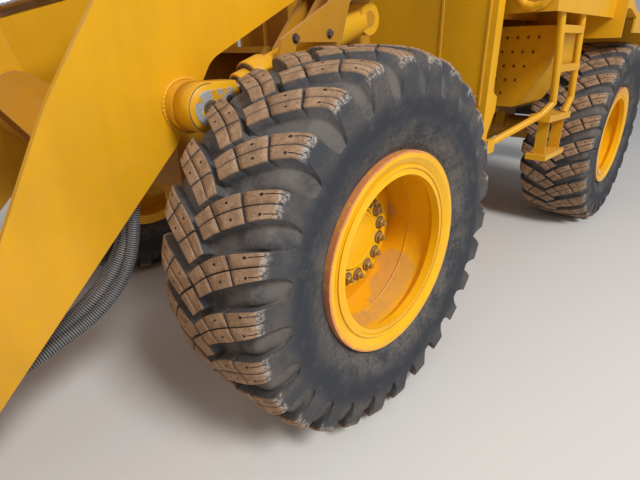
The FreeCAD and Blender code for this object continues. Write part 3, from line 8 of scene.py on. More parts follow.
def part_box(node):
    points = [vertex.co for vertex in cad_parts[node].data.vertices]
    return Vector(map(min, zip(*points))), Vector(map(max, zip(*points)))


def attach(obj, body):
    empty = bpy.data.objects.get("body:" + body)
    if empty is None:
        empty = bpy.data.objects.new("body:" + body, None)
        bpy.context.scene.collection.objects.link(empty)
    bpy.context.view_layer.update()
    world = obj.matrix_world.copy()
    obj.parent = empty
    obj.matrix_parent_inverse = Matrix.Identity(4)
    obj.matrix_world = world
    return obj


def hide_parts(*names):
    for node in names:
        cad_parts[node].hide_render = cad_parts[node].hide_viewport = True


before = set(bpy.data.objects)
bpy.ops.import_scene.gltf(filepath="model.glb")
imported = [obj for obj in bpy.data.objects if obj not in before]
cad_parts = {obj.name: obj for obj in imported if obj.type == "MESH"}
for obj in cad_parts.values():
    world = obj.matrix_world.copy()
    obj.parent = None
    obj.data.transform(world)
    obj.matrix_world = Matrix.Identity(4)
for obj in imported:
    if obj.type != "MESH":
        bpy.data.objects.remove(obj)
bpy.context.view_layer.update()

bl_info = {
    "name": "Wheel Loader Finish",
    "version": (1, 0, 0),
    "blender": (4, 5, 0),
    "location": "3D View > Sidebar > Loader",
    "description": "Tyres, rims, hoses, cab, paint and wear for a wheel loader",
    "category": "Object",
}

WHEELS = ("front_left", "front_right", "rear_left", "rear_right")


# Places read from the frame, in metres

def middle(node):
    low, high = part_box(node)
    return np.array((low + high) / 2)


def side_of(name):
    """1 for the machine's left, -1 for its right."""
    return -1 if "right" in name else 1


FRONT_X = float(middle("rim_front_left")[0])
REAR_X = float(middle("rim_rear_left")[0])
HITCH_X = (FRONT_X + REAR_X) / 2
HUB_Z = float(middle("rim_front_left")[2])
BUCKET_PIN = np.array((FRONT_X + 1.385, 0, 0.25))
LIFT_EYE = np.array((FRONT_X + 0.377, 0.612, 1.151))
HOSE_ROUTES = (
    # each point: ahead of the front axle, from the middle plane, height
    ((.565, .404, .905), (.565, .404, .850), (.574, .402, .775), (.588, .400, .705),
     (.610, .400, .638), (.645, .400, .573), (.698, .400, .516), (.775, .400, .463),
     (.860, .402, .431), (.960, .412, .404), (1.080, .428, .380), (1.150, .428, .380)),
    ((.565, .352, .905), (.565, .352, .850), (.572, .354, .785), (.584, .356, .728),
     (.606, .358, .674), (.643, .360, .615), (.690, .360, .558), (.738, .360, .514),
     (.790, .360, .480), (.860, .360, .442), (.960, .366, .406), (1.080, .372, .380),
     (1.150, .372, .380)),
    ((.565, .300, .905), (.565, .300, .850), (.569, .300, .780), (.581, .300, .712),
     (.606, .300, .645), (.648, .300, .585), (.704, .302, .526), (.775, .304, .474),
     (.850, .306, .434), (.945, .310, .402), (1.080, .316, .380), (1.150, .316, .380)),
)


# Settings that a user would change

class LoaderSizes(bpy.types.PropertyGroup):
    """Sizes of the fine pieces."""
    sipe_depth: bpy.props.FloatProperty(
        name="Sipe depth", description="Depth of the narrow cuts in the lugs",
        default=0.009, unit="LENGTH")
    rib_pitch: bpy.props.FloatProperty(
        name="Rib pitch", description="Distance between a hose sleeve's ribs",
        default=0.0085, unit="LENGTH")
    nut_count: bpy.props.IntProperty(
        name="Wheel nuts", description="Nuts round a rim's bolt face", default=16, min=4)
    nut_circle: bpy.props.FloatProperty(
        name="Nut circle", description="Radius of the circle of wheel nuts",
        default=0.1565, unit="LENGTH")
    seam_radius: bpy.props.FloatProperty(
        name="Weld seam", description="Radius of a weld bead", default=0.005, unit="LENGTH")


class LoaderColours(bpy.types.PropertyGroup):
    """Colours of the finishes, as linear values."""
    paint: bpy.props.FloatVectorProperty(
        name="Body paint", description="Yellow of the arms, frames and cab",
        subtype="COLOR", size=4, default=(0.76, 0.375, 0.004, 1))
    rim_paint: bpy.props.FloatVectorProperty(
        name="Rim paint", description="Deeper yellow of the rims",
        subtype="COLOR", size=4, default=(0.97, 0.500, 0.002, 1))
    dust: bpy.props.FloatVectorProperty(
        name="Dust", description="Dry earth on the lugs and the upper faces",
        subtype="COLOR", size=4, default=(0.40, 0.245, 0.150, 1))
    rubber: bpy.props.FloatVectorProperty(
        name="Rubber", description="Tyre sidewalls",
        subtype="COLOR", size=4, default=(0.034, 0.037, 0.045, 1))
    dark: bpy.props.FloatVectorProperty(
        name="Dark paint", description="Counterweight, stacks and lamp shells",
        subtype="COLOR", size=4, default=(0.035, 0.035, 0.037, 1))
    steel: bpy.props.FloatVectorProperty(
        name="Steel", description="Bare worn steel",
        subtype="COLOR", size=4, default=(0.36, 0.35, 0.34, 1))
    rust: bpy.props.FloatVectorProperty(
        name="Rust", description="Rust where the paint has gone",
        subtype="COLOR", size=4, default=(0.22, 0.075, 0.030, 1))


def sizes():
    return bpy.context.scene.loader_sizes


def colours():
    return bpy.context.scene.loader_colours


# Meshes from whole arrays

def grid_faces(rows, columns, close_rows=False, close_columns=False):
    """Quads between neighbouring points of a grid whose points are counted row by row."""
    row = np.arange(rows if close_rows else rows - 1)[:, None]
    column = np.arange(columns if close_columns else columns - 1)[None, :]
    after_row = (row + 1) % rows
    after_column = (column + 1) % columns
    return np.stack([row * columns + column, row * columns + after_column,
                     after_row * columns + after_column, after_row * columns + column],
                    -1).reshape(-1, 4)


def piece(name, points, faces, material, body, slot, marks=None, flat=False):
    """A mesh object from arrays that rides on a body. faces is one array, or a list of arrays
    of different widths. marks holds one value a point by name."""
    groups = faces if isinstance(faces, list) else [faces]
    corners = np.concatenate([group.ravel() for group in groups])
    widths = np.concatenate([np.full(len(group), group.shape[1]) for group in groups])
    mesh = bpy.data.meshes.new(name)
    mesh.vertices.add(len(points))
    mesh.vertices.foreach_set("co", np.asarray(points, np.float32).ravel())
    mesh.loops.add(len(corners))
    mesh.loops.foreach_set("vertex_index", corners.astype(np.int32))
    mesh.polygons.add(len(widths))
    mesh.polygons.foreach_set("loop_start", (np.cumsum(widths) - widths).astype(np.int32))
    mesh.polygons.foreach_set("use_smooth", np.full(len(widths), not flat))
    for key, values in (marks or {}).items():
        mark = mesh.attributes.new(key, "FLOAT", "POINT")
        mark.data.foreach_set("value", np.asarray(values, np.float32).ravel())
    mesh.update(calc_edges=True)
    mesh.validate()
    mesh.materials.append(material)
    made = bpy.data.objects.new(name, mesh)
    bpy.context.scene.collection.objects.link(made)
    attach(made, body)
    return made


def cross_frames(way):
    """For unit directions, two unit directions across each, as arrays."""
    way = np.asarray(way, float)
    helper = np.where(np.abs(way[..., 1:2]) < 0.9, np.array((0, 1.0, 0)), np.array((1.0, 0, 0)))
    side = np.cross(way, helper)
    side /= np.linalg.norm(side, axis=-1, keepdims=True)
    return side, np.cross(way, side)


def swept(path, radii, sides=12):
    """A tube: at each point of the path a circle of that point's radius, across the path's run.
    Its two ends close in their middle points."""
    path = np.asarray(path, float)
    run = np.gradient(path, axis=0)
    run /= np.linalg.norm(run, axis=1, keepdims=True)
    side, other = cross_frames(run)
    turn = np.linspace(0, 2 * np.pi, sides, endpoint=False)
    ring = (np.cos(turn)[None, :, None] * side[:, None] + np.sin(turn)[None, :, None]
            * other[:, None])
    points = path[:, None] + ring * np.broadcast_to(radii, len(path))[:, None, None]
    ends = [np.repeat(path[place][None, None], sides, axis=1) for place in (0, -1)]
    points = np.concatenate([ends[0], points, ends[1]])
    return points.reshape(-1, 3), grid_faces(len(points), sides, close_columns=True)[:, ::-1]


def turned(profile, centre, way, sides=48):
    """A body turned about an axis: profile rows are distance along the axis and radius."""
    profile = np.asarray(profile, float)
    way = np.asarray(way, float) / np.linalg.norm(way)
    side, other = cross_frames(way)
    turn = np.linspace(0, 2 * np.pi, sides, endpoint=False)
    spoke = np.cos(turn)[:, None] * side + np.sin(turn)[:, None] * other
    points = (np.asarray(centre, float) + profile[:, 0, None, None] * way
              + profile[:, 1, None, None] * spoke[None])
    return points.reshape(-1, 3), grid_faces(len(profile), sides, close_columns=True)[:, ::-1]


def merged(parts):
    """Several (points, faces) pairs as one pair."""
    points = [part[0] for part in parts]
    starts = np.cumsum([0] + [len(block) for block in points[:-1]])
    return (np.concatenate(points),
            np.concatenate([part[1] + start for part, start in zip(parts, starts)]))


def repeated(shape, turns, places):
    """Copies of one shape: each copy's points are turned by a matrix and moved to a place."""
    points, faces = shape
    turns = np.asarray(turns, float)
    places = np.asarray(places, float)
    moved = np.einsum("kij,nj->kni", turns, points) + places[:, None]
    shift = np.arange(len(places))[:, None, None] * len(points)
    return moved.reshape(-1, 3), (faces[None] + shift).reshape(-1, 4)


def mirrored(shape):
    """The shape on the other side of the middle plane, its faces turned back outwards."""
    points, faces = shape
    return points * (1, -1, 1), faces[:, ::-1]


def block(low, high, edge=0.0):
    """A box between two corners whose edges are cut by a small bevel: eight corners a level,
    drawn in at the lowest and the highest level, and closed in their middles."""
    low, high = np.asarray(low, float), np.asarray(high, float)
    half = (high - low) / 2
    levels = np.array((-half[2], -half[2], edge - half[2], half[2] - edge, half[2], half[2]))
    reach = half[:2] - np.array((0, edge, 0, 0, edge, 0))[:, None]
    reach[[0, -1]] = 0
    cut = np.minimum(edge, reach.min(axis=1, keepdims=True)) * (1, 1)
    corner_x = np.array((1, 1, 1, -1, -1, -1, -1, 1.0))
    corner_y = np.array((-1, 1, 1, 1, 1, -1, -1, -1.0))
    draw_x = np.array((0, 0, 1, 1, 0, 0, 1, 1.0))
    draw_y = 1 - draw_x
    x = corner_x * (reach[:, :1] - draw_x * cut[:, :1])
    y = corner_y * (reach[:, 1:] - draw_y * cut[:, 1:])
    points = np.stack([x, y, np.broadcast_to(levels[:, None], x.shape)], -1)
    return points.reshape(-1, 3) + (low + high) / 2, grid_faces(6, 8, close_columns=True)


def nut_shape(radius, height, stud=0.0):
    """A hexagonal nut with a washer under it, chamfered, and its stud's end, along +Z."""
    washer = turned([(0, 0), (0, radius * 1.35), (height * .16, radius * 1.35),
                     (height * .2, radius * 1.2), (height * .2, 0)], (0, 0, 0), (0, 0, 1), 18)
    hexagon = turned([(height * .2, radius), (height * .88, radius), (height, radius * .86),
                      (height, 0)], (0, 0, 0), (0, 0, 1), 6)
    parts = [washer, hexagon]
    if stud:
        parts.append(turned([(height, radius * .55), (height + stud, radius * .5),
                             (height + stud * 1.15, radius * .4), (height + stud * 1.15, 0)],
                            (0, 0, 0), (0, 0, 1), 10))
    return merged(parts)


def standing(ways):
    """Matrices that turn +Z to each of the given directions."""
    ways = np.asarray(ways, float)
    ways = ways / np.linalg.norm(ways, axis=1, keepdims=True)
    side, other = cross_frames(ways)
    return np.stack([side, other, ways], axis=-1)


def bolts(places, way, radius=0.011, height=0.011):
    """Bolt heads at the places, all along one direction."""
    places = np.asarray(places, float)
    return repeated(nut_shape(radius, height), standing(np.tile(way, (len(places), 1))), places)


def bead(path, radius=None, steps=None):
    """A weld bead: a thin tube along straight runs, its radius rippling with the distance."""
    path = np.asarray(path, float)
    radius = radius or sizes().seam_radius
    reach = np.concatenate([[0], np.cumsum(np.linalg.norm(np.diff(path, axis=0), axis=1))])
    steps = steps or max(4, int(reach[-1] / (radius * 1.1)))
    along = np.linspace(0, reach[-1], steps)
    line = np.stack([np.interp(along, reach, path[:, axis]) for axis in range(3)], -1)
    return swept(line, radius * (1 + 0.22 * np.sin(np.arange(steps) * 2.1)), 6)


# Material nodes

def node(tree, kind, inputs=None, **settings):
    """Add a node with these settings and input values or links."""
    made = tree.nodes.new(kind)
    for key, value in settings.items():
        setattr(made, key, value)
    for key, value in (inputs or {}).items():
        if isinstance(value, bpy.types.NodeSocket):
            tree.links.new(value, made.inputs[key])
        else:
            made.inputs[key].default_value = value
    return made


def maths(tree, operation, *values, clamp=False):
    inputs = dict(enumerate(values))
    return node(tree, "ShaderNodeMath", inputs, operation=operation, use_clamp=clamp).outputs[0]


def between(tree, value, low, high):
    """0 below low, 1 above high, eased between them."""
    return node(tree, "ShaderNodeMapRange", {0: value, 1: low, 2: high},
                interpolation_type="SMOOTHSTEP").outputs[0]


def blended(tree, share, first, second):
    return node(tree, "ShaderNodeMix", {0: share, 6: first, 7: second},
                data_type="RGBA").outputs[2]


def noise(tree, place, scale, detail=3.0, roughness=0.55):
    return node(tree, "ShaderNodeTexNoise", {"Vector": place, "Scale": scale, "Detail": detail,
                                             "Roughness": roughness}).outputs["Fac"]


def object_place(tree):
    return node(tree, "ShaderNodeTexCoord").outputs["Object"]


def new_group(name, inputs, outputs):
    """An empty node group with named sockets and its two end nodes."""
    group = bpy.data.node_groups.new(name, "ShaderNodeTree")
    for label, kind, value in inputs:
        socket = group.interface.new_socket(label, in_out="INPUT", socket_type=kind)
        socket.default_value = value
    for label, kind in outputs:
        group.interface.new_socket(label, in_out="OUTPUT", socket_type=kind)
    return group, group.nodes.new("NodeGroupInput").outputs, group.nodes.new("NodeGroupOutput").inputs


def weathered_paint():
    """Paint that fades in patches, gathers dust on its upper faces, and chips to rust."""
    group, given, result = new_group("weathered_paint", (
        ("Paint", "NodeSocketColor", (0.8, 0.4, 0.0, 1)),
        ("Dust", "NodeSocketColor", (0.4, 0.25, 0.15, 1)),
        ("Rust", "NodeSocketColor", (0.2, 0.07, 0.03, 1)),
        ("Dust amount", "NodeSocketFloat", 0.3),
        ("Chip amount", "NodeSocketFloat", 0.3),
        ("Edge wear", "NodeSocketFloat", 0.5)),
        (("Colour", "NodeSocketColor"), ("Roughness", "NodeSocketFloat"),
         ("Height", "NodeSocketFloat")))
    place = object_place(group)
    patches = noise(group, place, 1.7, 4.0)
    streaks = noise(group, node(group, "ShaderNodeMapping", {"Vector": place,
                                                             "Scale": (9, 9, 1.3)}).outputs[0],
                    1.0, 4.0)
    fine = noise(group, place, 60.0, 4.0, 0.7)
    shade = maths(group, "MULTIPLY_ADD", between(group, patches, 0.32, 0.7), 0.16, 0.90)
    shade = maths(group, "MULTIPLY_ADD", between(group, streaks, 0.35, 0.75), -0.07, shade)
    faded = node(group, "ShaderNodeVectorMath", {0: given["Paint"], "Scale": shade},
                 operation="SCALE").outputs[0]
    geometry = node(group, "ShaderNodeNewGeometry")
    up = node(group, "ShaderNodeSeparateXYZ", {0: geometry.outputs["Normal"]}).outputs[2]
    upward = between(group, up, 0.35, 0.98)
    speckle = between(group, noise(group, place, 14.0, 5.0, 0.7), 0.42, 0.68)
    low = between(group, node(group, "ShaderNodeSeparateXYZ", {0: place}).outputs[2], 1.5, 0.25)
    settle = maths(group, "MULTIPLY_ADD", upward, 0.75,
                   maths(group, "MULTIPLY_ADD", low, 0.45, 0.10))
    dusty = maths(group, "MULTIPLY", maths(group, "MULTIPLY_ADD", speckle, 0.6, 0.4), settle)
    dusty = maths(group, "MULTIPLY", dusty, given["Dust amount"], clamp=True)
    colour = blended(group, dusty, faded, given["Dust"])
    round_normal = node(group, "ShaderNodeBevel", {"Radius": 0.007}, samples=4).outputs[0]
    alike = node(group, "ShaderNodeVectorMath", {0: round_normal, 1: geometry.outputs["Normal"]},
                 operation="DOT_PRODUCT").outputs["Value"]
    edge = maths(group, "MULTIPLY", between(group, alike, 0.985, 0.90),
                 between(group, fine, 0.30, 0.62))
    edge = maths(group, "MULTIPLY", edge, given["Edge wear"], clamp=True)
    colour = blended(group, edge, colour, blended(group, 0.35, given["Dust"], faded))
    spots = node(group, "ShaderNodeTexVoronoi", {"Vector": place, "Scale": 11.0},
                 feature="F1").outputs["Distance"]
    rare = between(group, noise(group, place, 3.1, 2.0), 0.60, 0.72)
    chip = maths(group, "MULTIPLY", between(group, spots, 0.085, 0.045), rare)
    scuff = maths(group, "MULTIPLY", between(group, fine, 0.70, 0.76),
                  between(group, patches, 0.50, 0.66))
    chip = maths(group, "MULTIPLY", maths(group, "MAXIMUM", chip, scuff), given["Chip amount"],
                 clamp=True)
    colour = blended(group, chip, colour, given["Rust"])
    rough = maths(group, "MULTIPLY_ADD", dusty, 0.40, 0.36)
    rough = maths(group, "MULTIPLY_ADD", chip, 0.35, rough, clamp=True)
    height = maths(group, "MULTIPLY_ADD", chip, -0.6, maths(group, "MULTIPLY", fine, 0.12))
    for label, value in (("Colour", colour), ("Roughness", rough), ("Height", height)):
        group.links.new(value, result[label])
    return group


def earth_film():
    """Dry earth that clings in patches, thick in one noise and speckled by another."""
    group, given, result = new_group("earth_film", (
        ("Base", "NodeSocketColor", (0.1, 0.1, 0.1, 1)),
        ("Earth", "NodeSocketColor", (0.4, 0.25, 0.15, 1)),
        ("Amount", "NodeSocketFloat", 0.5), ("Scale", "NodeSocketFloat", 6.0)),
        (("Colour", "NodeSocketColor"), ("Cover", "NodeSocketFloat")))
    place = object_place(group)
    broad = noise(group, place, given["Scale"], 5.0, 0.65)
    grain = noise(group, place, 140.0, 3.0, 0.7)
    cover = maths(group, "MULTIPLY", between(group, broad, 0.35, 0.68),
                  maths(group, "MULTIPLY_ADD", between(group, grain, 0.3, 0.62), 0.7, 0.3))
    cover = maths(group, "MULTIPLY", cover, given["Amount"], clamp=True)
    group.links.new(blended(group, cover, given["Base"], given["Earth"]), result["Colour"])
    group.links.new(cover, result["Cover"])
    return group


GROUPS = {}


def effect(tree, maker, inputs):
    """Place a shared node group, built on its first use, with its own input values."""
    if maker.__name__ not in GROUPS:
        GROUPS[maker.__name__] = maker()
    made = tree.nodes.new("ShaderNodeGroup")
    made.node_tree = GROUPS[maker.__name__]
    for key, value in inputs.items():
        if isinstance(value, bpy.types.NodeSocket):
            tree.links.new(value, made.inputs[key])
        else:
            made.inputs[key].default_value = value
    return made.outputs


def new_material(name, **shader_values):
    """A material and its Principled shader, with constants on the shader's own sockets."""
    material = bpy.data.materials.new(name)
    material.use_nodes = True
    shader = material.node_tree.nodes["Principled BSDF"]
    for key, value in shader_values.items():
        shader.inputs[key.replace("_", " ").title().replace("Ior", "IOR")].default_value = value
    return material, material.node_tree, shader.inputs


def bumped(tree, height, distance, strength=1.0):
    return node(tree, "ShaderNodeBump", {"Height": height, "Distance": distance,
                                         "Strength": strength}).outputs[0]


def paint_material(name, colour, dust=0.30, chips=0.35, edges=0.55, coat=0.06):
    material, tree, shader = new_material(name, coat_weight=coat, coat_roughness=0.25,
                                          specular_ior_level=0.28)
    worn = effect(tree, weathered_paint, {
        "Paint": colour, "Dust": colours().dust, "Rust": colours().rust,
        "Dust amount": dust, "Chip amount": chips, "Edge wear": edges})
    tree.links.new(worn["Colour"], shader["Base Color"])
    tree.links.new(worn["Roughness"], shader["Roughness"])
    tree.links.new(bumped(tree, worn["Height"], 0.0012), shader["Normal"])
    return material


def rim_material(name):
    """Rim paint, worn to a pink-red band on the flange's edge, with scraped primer patches."""
    hub = middle("rim_" + name)
    material, tree, shader = new_material("rim_paint_" + name, coat_weight=0.15,
                                          coat_roughness=0.16, specular_ior_level=0.3)
    worn = effect(tree, weathered_paint, {
        "Paint": colours().rim_paint, "Dust": colours().dust, "Rust": colours().rust,
        "Dust amount": 0.08, "Chip amount": 0.75, "Edge wear": 0.25})
    place = object_place(tree)
    centred = node(tree, "ShaderNodeMapping", {"Vector": place, "Location": tuple(-hub)}).outputs[0]
    parts = node(tree, "ShaderNodeSeparateXYZ", {0: centred}).outputs
    radius = maths(tree, "SQRT", maths(tree, "ADD", maths(tree, "MULTIPLY", parts[0], parts[0]),
                                       maths(tree, "MULTIPLY", parts[2], parts[2])))
    wobble = maths(tree, "MULTIPLY_ADD", noise(tree, place, 9.0, 4.0), 0.014, -0.007)
    flange = between(tree, maths(tree, "ADD", radius, wobble), 0.3455, 0.3500)
    ahead = between(tree, maths(tree, "MULTIPLY_ADD", parts[2], 0.45, parts[0]), -0.14, 0.10)
    faded = noise(tree, place, 30.0, 4.0, 0.7)
    worn_band = maths(tree, "MULTIPLY", flange, maths(tree, "MULTIPLY", ahead,
                                                      between(tree, faded, 0.25, 0.5)))
    colour = blended(tree, maths(tree, "MULTIPLY", worn_band, 0.85), worn["Colour"],
                     (0.64, 0.200, 0.105, 1))
    depth = maths(tree, "ABSOLUTE", parts[1])
    barrel = maths(tree, "MULTIPLY", between(tree, radius, 0.255, 0.285),
                   between(tree, depth, 0.15, 0.11))
    patch = maths(tree, "MULTIPLY", between(tree, noise(tree, place, 3.6, 2.0, 0.4), 0.57, 0.60),
                  barrel)
    colour = blended(tree, maths(tree, "MULTIPLY", patch, 0.35), colour, (0.40, 0.27, 0.20, 1))
    lower = between(tree, parts[2], 0.05, -0.30)
    sand = maths(tree, "MULTIPLY", maths(tree, "MULTIPLY", lower, barrel),
                 between(tree, noise(tree, place, 22.0, 5.0, 0.7), 0.45, 0.65))
    colour = blended(tree, maths(tree, "MULTIPLY", sand, 0.30), colour, colours().dust)
    tree.links.new(colour, shader["Base Color"])
    rough = maths(tree, "MAXIMUM", worn["Roughness"], maths(tree, "MULTIPLY", worn_band, 0.6))
    tree.links.new(maths(tree, "MULTIPLY_ADD", rough, 1.0, -0.08, clamp=True),
                   shader["Roughness"])
    tree.links.new(bumped(tree, worn["Height"], 0.001), shader["Normal"])
    return material


def tyre_material():
    """Charcoal rubber: the mark lug_top says where earth lies, tread_u and tread_v place the
    stud holes and the short cuts, painted near-black as painted shade, and scuffs run round the
    sidewall."""
    material, tree, shader = new_material("dusty_rubber", specular_ior_level=0.3)
    place = object_place(tree)

    def mark(name):
        return node(tree, "ShaderNodeAttribute", attribute_name=name).outputs["Fac"]

    across = maths(tree, "ABSOLUTE", mark("tread_v"))
    phase = mark("tread_u")
    top = mark("lug_top")
    radius = mark("height")
    grain = noise(tree, place, 95.0, 5.0, 0.75)
    pits = noise(tree, place, 210.0, 4.0, 0.8)
    cloudy = noise(tree, place, 12.0, 5.0, 0.7)
    film = effect(tree, earth_film, {"Base": (0.050, 0.052, 0.058, 1),
                                     "Earth": (0.21, 0.165, 0.125, 1), "Amount": 0.45,
                                     "Scale": 7.0})
    scuffs = noise(tree, node(tree, "ShaderNodeMapping", {"Vector": place,
                                                          "Scale": (14, 60, 14)}).outputs[0],
                   1.0, 6.0, 0.75)
    side = blended(tree, maths(tree, "MULTIPLY", between(tree, scuffs, 0.48, 0.72), 0.35),
                   colours().rubber, (0.14, 0.125, 0.115, 1))
    bead_dust = maths(tree, "MULTIPLY", between(tree, radius, 0.48, 0.40),
                      between(tree, maths(tree, "MULTIPLY_ADD", grain, 0.5, maths(
                          tree, "MULTIPLY", cloudy, 0.5)), 0.38, 0.62))
    side = blended(tree, maths(tree, "MULTIPLY", bead_dust, 0.60), side, (0.20, 0.170, 0.140, 1))
    wall = blended(tree, between(tree, radius, 0.50, 0.56), side, film["Colour"])
    in_groove = maths(tree, "MULTIPLY", between(tree, mark("floor"), 0.75, 1.0),
                      between(tree, cloudy, 0.36, 0.60))
    wall = blended(tree, maths(tree, "MULTIPLY", in_groove, 0.75), wall,
                   (0.155, 0.135, 0.118, 1))
    tan = blended(tree, between(tree, noise(tree, place, 26.0, 4.0), 0.35, 0.70),
                  (0.300, 0.178, 0.098, 1), (0.430, 0.270, 0.160, 1))
    tan = blended(tree, maths(tree, "MULTIPLY", between(tree, pits, 0.51, 0.63), 0.85), tan,
                  (0.10, 0.066, 0.045, 1))
    ragged = maths(tree, "MULTIPLY_ADD", noise(tree, place, 55.0, 4.0, 0.75), 0.034,
                   maths(tree, "SUBTRACT", across, 0.017))
    worn_top = maths(tree, "MULTIPLY", between(tree, top, 0.80, 0.97),
                     between(tree, ragged, 0.238, 0.231))
    broken = maths(tree, "MULTIPLY_ADD", between(tree, grain, 0.26, 0.40), 0.35, 0.65)
    scraped = maths(tree, "MULTIPLY", maths(tree, "MULTIPLY", between(tree, ragged, 0.226, 0.234),
                                            between(tree, ragged, 0.256, 0.244)),
                    maths(tree, "MULTIPLY", between(tree, top, 0.5, 0.9),
                          between(tree, grain, 0.42, 0.58)))
    colour = blended(tree, maths(tree, "MULTIPLY", worn_top, broken), wall, tan)
    colour = blended(tree, maths(tree, "MULTIPLY", scraped, 0.75), colour,
                     (0.46, 0.40, 0.34, 1))
    across_lug = maths(tree, "SUBTRACT", maths(tree, "ABSOLUTE",
                                               maths(tree, "SUBTRACT", phase, 0.31)), 0.165)
    along_row = maths(tree, "SUBTRACT", maths(tree, "ABSOLUTE",
                                              maths(tree, "SUBTRACT", across, 0.1525)), 0.0425)
    run = maths(tree, "MULTIPLY", across_lug, 0.161)
    reach = maths(tree, "SQRT", maths(tree, "ADD", maths(tree, "MULTIPLY", run, run),
                                      maths(tree, "MULTIPLY", along_row, along_row)))
    # stud holes and sipe cuts painted near-black: painted shade in their recesses
    stud_hole_shade = maths(tree, "MULTIPLY", between(tree, reach, 0.0046, 0.0032),
                 between(tree, top, 0.6, 0.9))
    cut = maths(tree, "MULTIPLY", between(tree, maths(tree, "ABSOLUTE", run), 0.0015, 0.0008),
                maths(tree, "MULTIPLY", between(tree, across, 0.200, 0.204),
                      between(tree, across, 0.240, 0.234)))
    dark = maths(tree, "MAXIMUM", stud_hole_shade, cut)
    # near-black colour: painted shade in the holes and cuts
    colour = blended(tree, dark, colour, (0.012, 0.011, 0.010, 1))
    tree.links.new(colour, shader["Base Color"])
    tree.links.new(maths(tree, "MULTIPLY_ADD", grain, 0.25, 0.66), shader["Roughness"])
    relief = maths(tree, "MULTIPLY_ADD", pits, 0.45, maths(tree, "MULTIPLY_ADD", grain, 0.75,
                                                           maths(tree, "MULTIPLY", dark, -2.5)))
    tree.links.new(bumped(tree, relief, 0.0022), shader["Normal"])
    return material


def bare_material(name, colour, metallic=0.9, rough=0.38, earth=0.4, scale=6.0, grain=0.25):
    """Bare or worn metal and plastic under a film of earth."""
    material, tree, shader = new_material(name, metallic=0.0)
    place = object_place(tree)
    film = effect(tree, earth_film, {"Base": colour, "Earth": colours().dust, "Amount": earth,
                                     "Scale": scale})
    tree.links.new(film["Colour"], shader["Base Color"])
    tree.links.new(maths(tree, "MULTIPLY", maths(tree, "SUBTRACT", 1.0, film["Cover"]), metallic),
                   shader["Metallic"])
    fine = noise(tree, place, 90.0, 4.0, 0.7)
    rough_now = maths(tree, "MULTIPLY_ADD", film["Cover"], 0.4,
                      maths(tree, "MULTIPLY_ADD", fine, grain, rough - grain / 2), clamp=True)
    tree.links.new(rough_now, shader["Roughness"])
    tree.links.new(bumped(tree, fine, 0.0008), shader["Normal"])
    return material


def bucket_material():
    """Yellow paint outside that gives way to scraped steel and rust low down and inside."""
    material, tree, shader = new_material("bucket_worn")
    place = object_place(tree)
    worn = effect(tree, weathered_paint, {
        "Paint": colours().paint, "Dust": colours().dust, "Rust": colours().rust,
        "Dust amount": 0.7, "Chip amount": 0.9, "Edge wear": 0.9})
    parts = node(tree, "ShaderNodeSeparateXYZ", {0: place}).outputs
    ragged = maths(tree, "MULTIPLY_ADD", noise(tree, place, 5.0, 5.0, 0.7), 0.5, -0.25)
    ahead = maths(tree, "SUBTRACT", parts[0], BUCKET_PIN[0] + 0.10)
    inside = between(tree, maths(tree, "ADD", ahead, ragged), 0.05, 0.30)
    bottom = between(tree, maths(tree, "ADD", parts[2], ragged), 0.34, 0.12)
    bare = maths(tree, "MAXIMUM", inside, bottom)
    scrape = noise(tree, node(tree, "ShaderNodeMapping", {"Vector": place,
                                                          "Scale": (3, 40, 3)}).outputs[0],
                   1.0, 6.0, 0.7)
    steel = blended(tree, between(tree, scrape, 0.40, 0.66), colours().rust, colours().steel)
    tree.links.new(blended(tree, bare, worn["Colour"], steel), shader["Base Color"])
    tree.links.new(maths(tree, "MULTIPLY", bare, between(tree, scrape, 0.45, 0.70)),
                   shader["Metallic"])
    tree.links.new(maths(tree, "MULTIPLY_ADD", scrape, 0.3, 0.38), shader["Roughness"])
    tree.links.new(bumped(tree, scrape, 0.002), shader["Normal"])
    return material


def keeper_material():
    """Grey plate whose yellow paint is left in ragged patches, with rusty scratches."""
    material, tree, shader = new_material("keeper_plate", metallic=0.2)
    place = object_place(tree)
    patches = between(tree, noise(tree, place, 34.0, 4.0, 0.6), 0.55, 0.58)
    scratches = between(tree, noise(tree, place, 120.0, 4.0, 0.7), 0.62, 0.68)
    film = effect(tree, earth_film, {"Base": (0.40, 0.42, 0.43, 1), "Earth": colours().dust,
                                     "Amount": 0.35, "Scale": 16.0})
    colour = blended(tree, patches, film["Colour"], colours().paint)
    colour = blended(tree, maths(tree, "MULTIPLY", scratches, 0.7), colour, colours().rust)
    tree.links.new(colour, shader["Base Color"])
    tree.links.new(maths(tree, "MULTIPLY_ADD", scratches, 0.3, 0.42), shader["Roughness"])
    tree.links.new(bumped(tree, patches, 0.0006), shader["Normal"])
    return material


def hose_material():
    """Grey ribbed sleeve: the mark rib sets painted shade, near-black, in the valleys and dust on the crests."""
    material, tree, shader = new_material("hose_sleeve", specular_ior_level=0.45)
    rib = node(tree, "ShaderNodeAttribute", attribute_name="rib").outputs["Fac"]
    film = effect(tree, earth_film, {"Base": (0.185, 0.190, 0.195, 1),
                                     "Earth": (0.36, 0.30, 0.25, 1), "Amount": 0.55,
                                     "Scale": 9.0})
    # near-black in the rib valleys: painted shade
    tree.links.new(blended(tree, between(tree, rib, 0.1, 0.75), (0.020, 0.020, 0.022, 1),
                           film["Colour"]), shader["Base Color"])
    tree.links.new(maths(tree, "MULTIPLY_ADD", film["Cover"], 0.3, 0.42), shader["Roughness"])
    return material


def glass_material():
    """Tinted pane with a dusty film; the shade of the glass is plain."""
    material, tree, shader = new_material("tinted_pane", metallic=0.0)
    shader["Base Color"].default_value = (0.30, 0.36, 0.36, 1)
    shader["IOR"].default_value = 1.45
    place = object_place(tree)
    dusty = between(tree, noise(tree, place, 5.0, 5.0, 0.7), 0.45, 0.75)
    tree.links.new(maths(tree, "MULTIPLY_ADD", dusty, 0.16, 0.30), shader["Alpha"])
    tree.links.new(maths(tree, "MULTIPLY_ADD", dusty, 0.30, 0.05), shader["Roughness"])
    return material


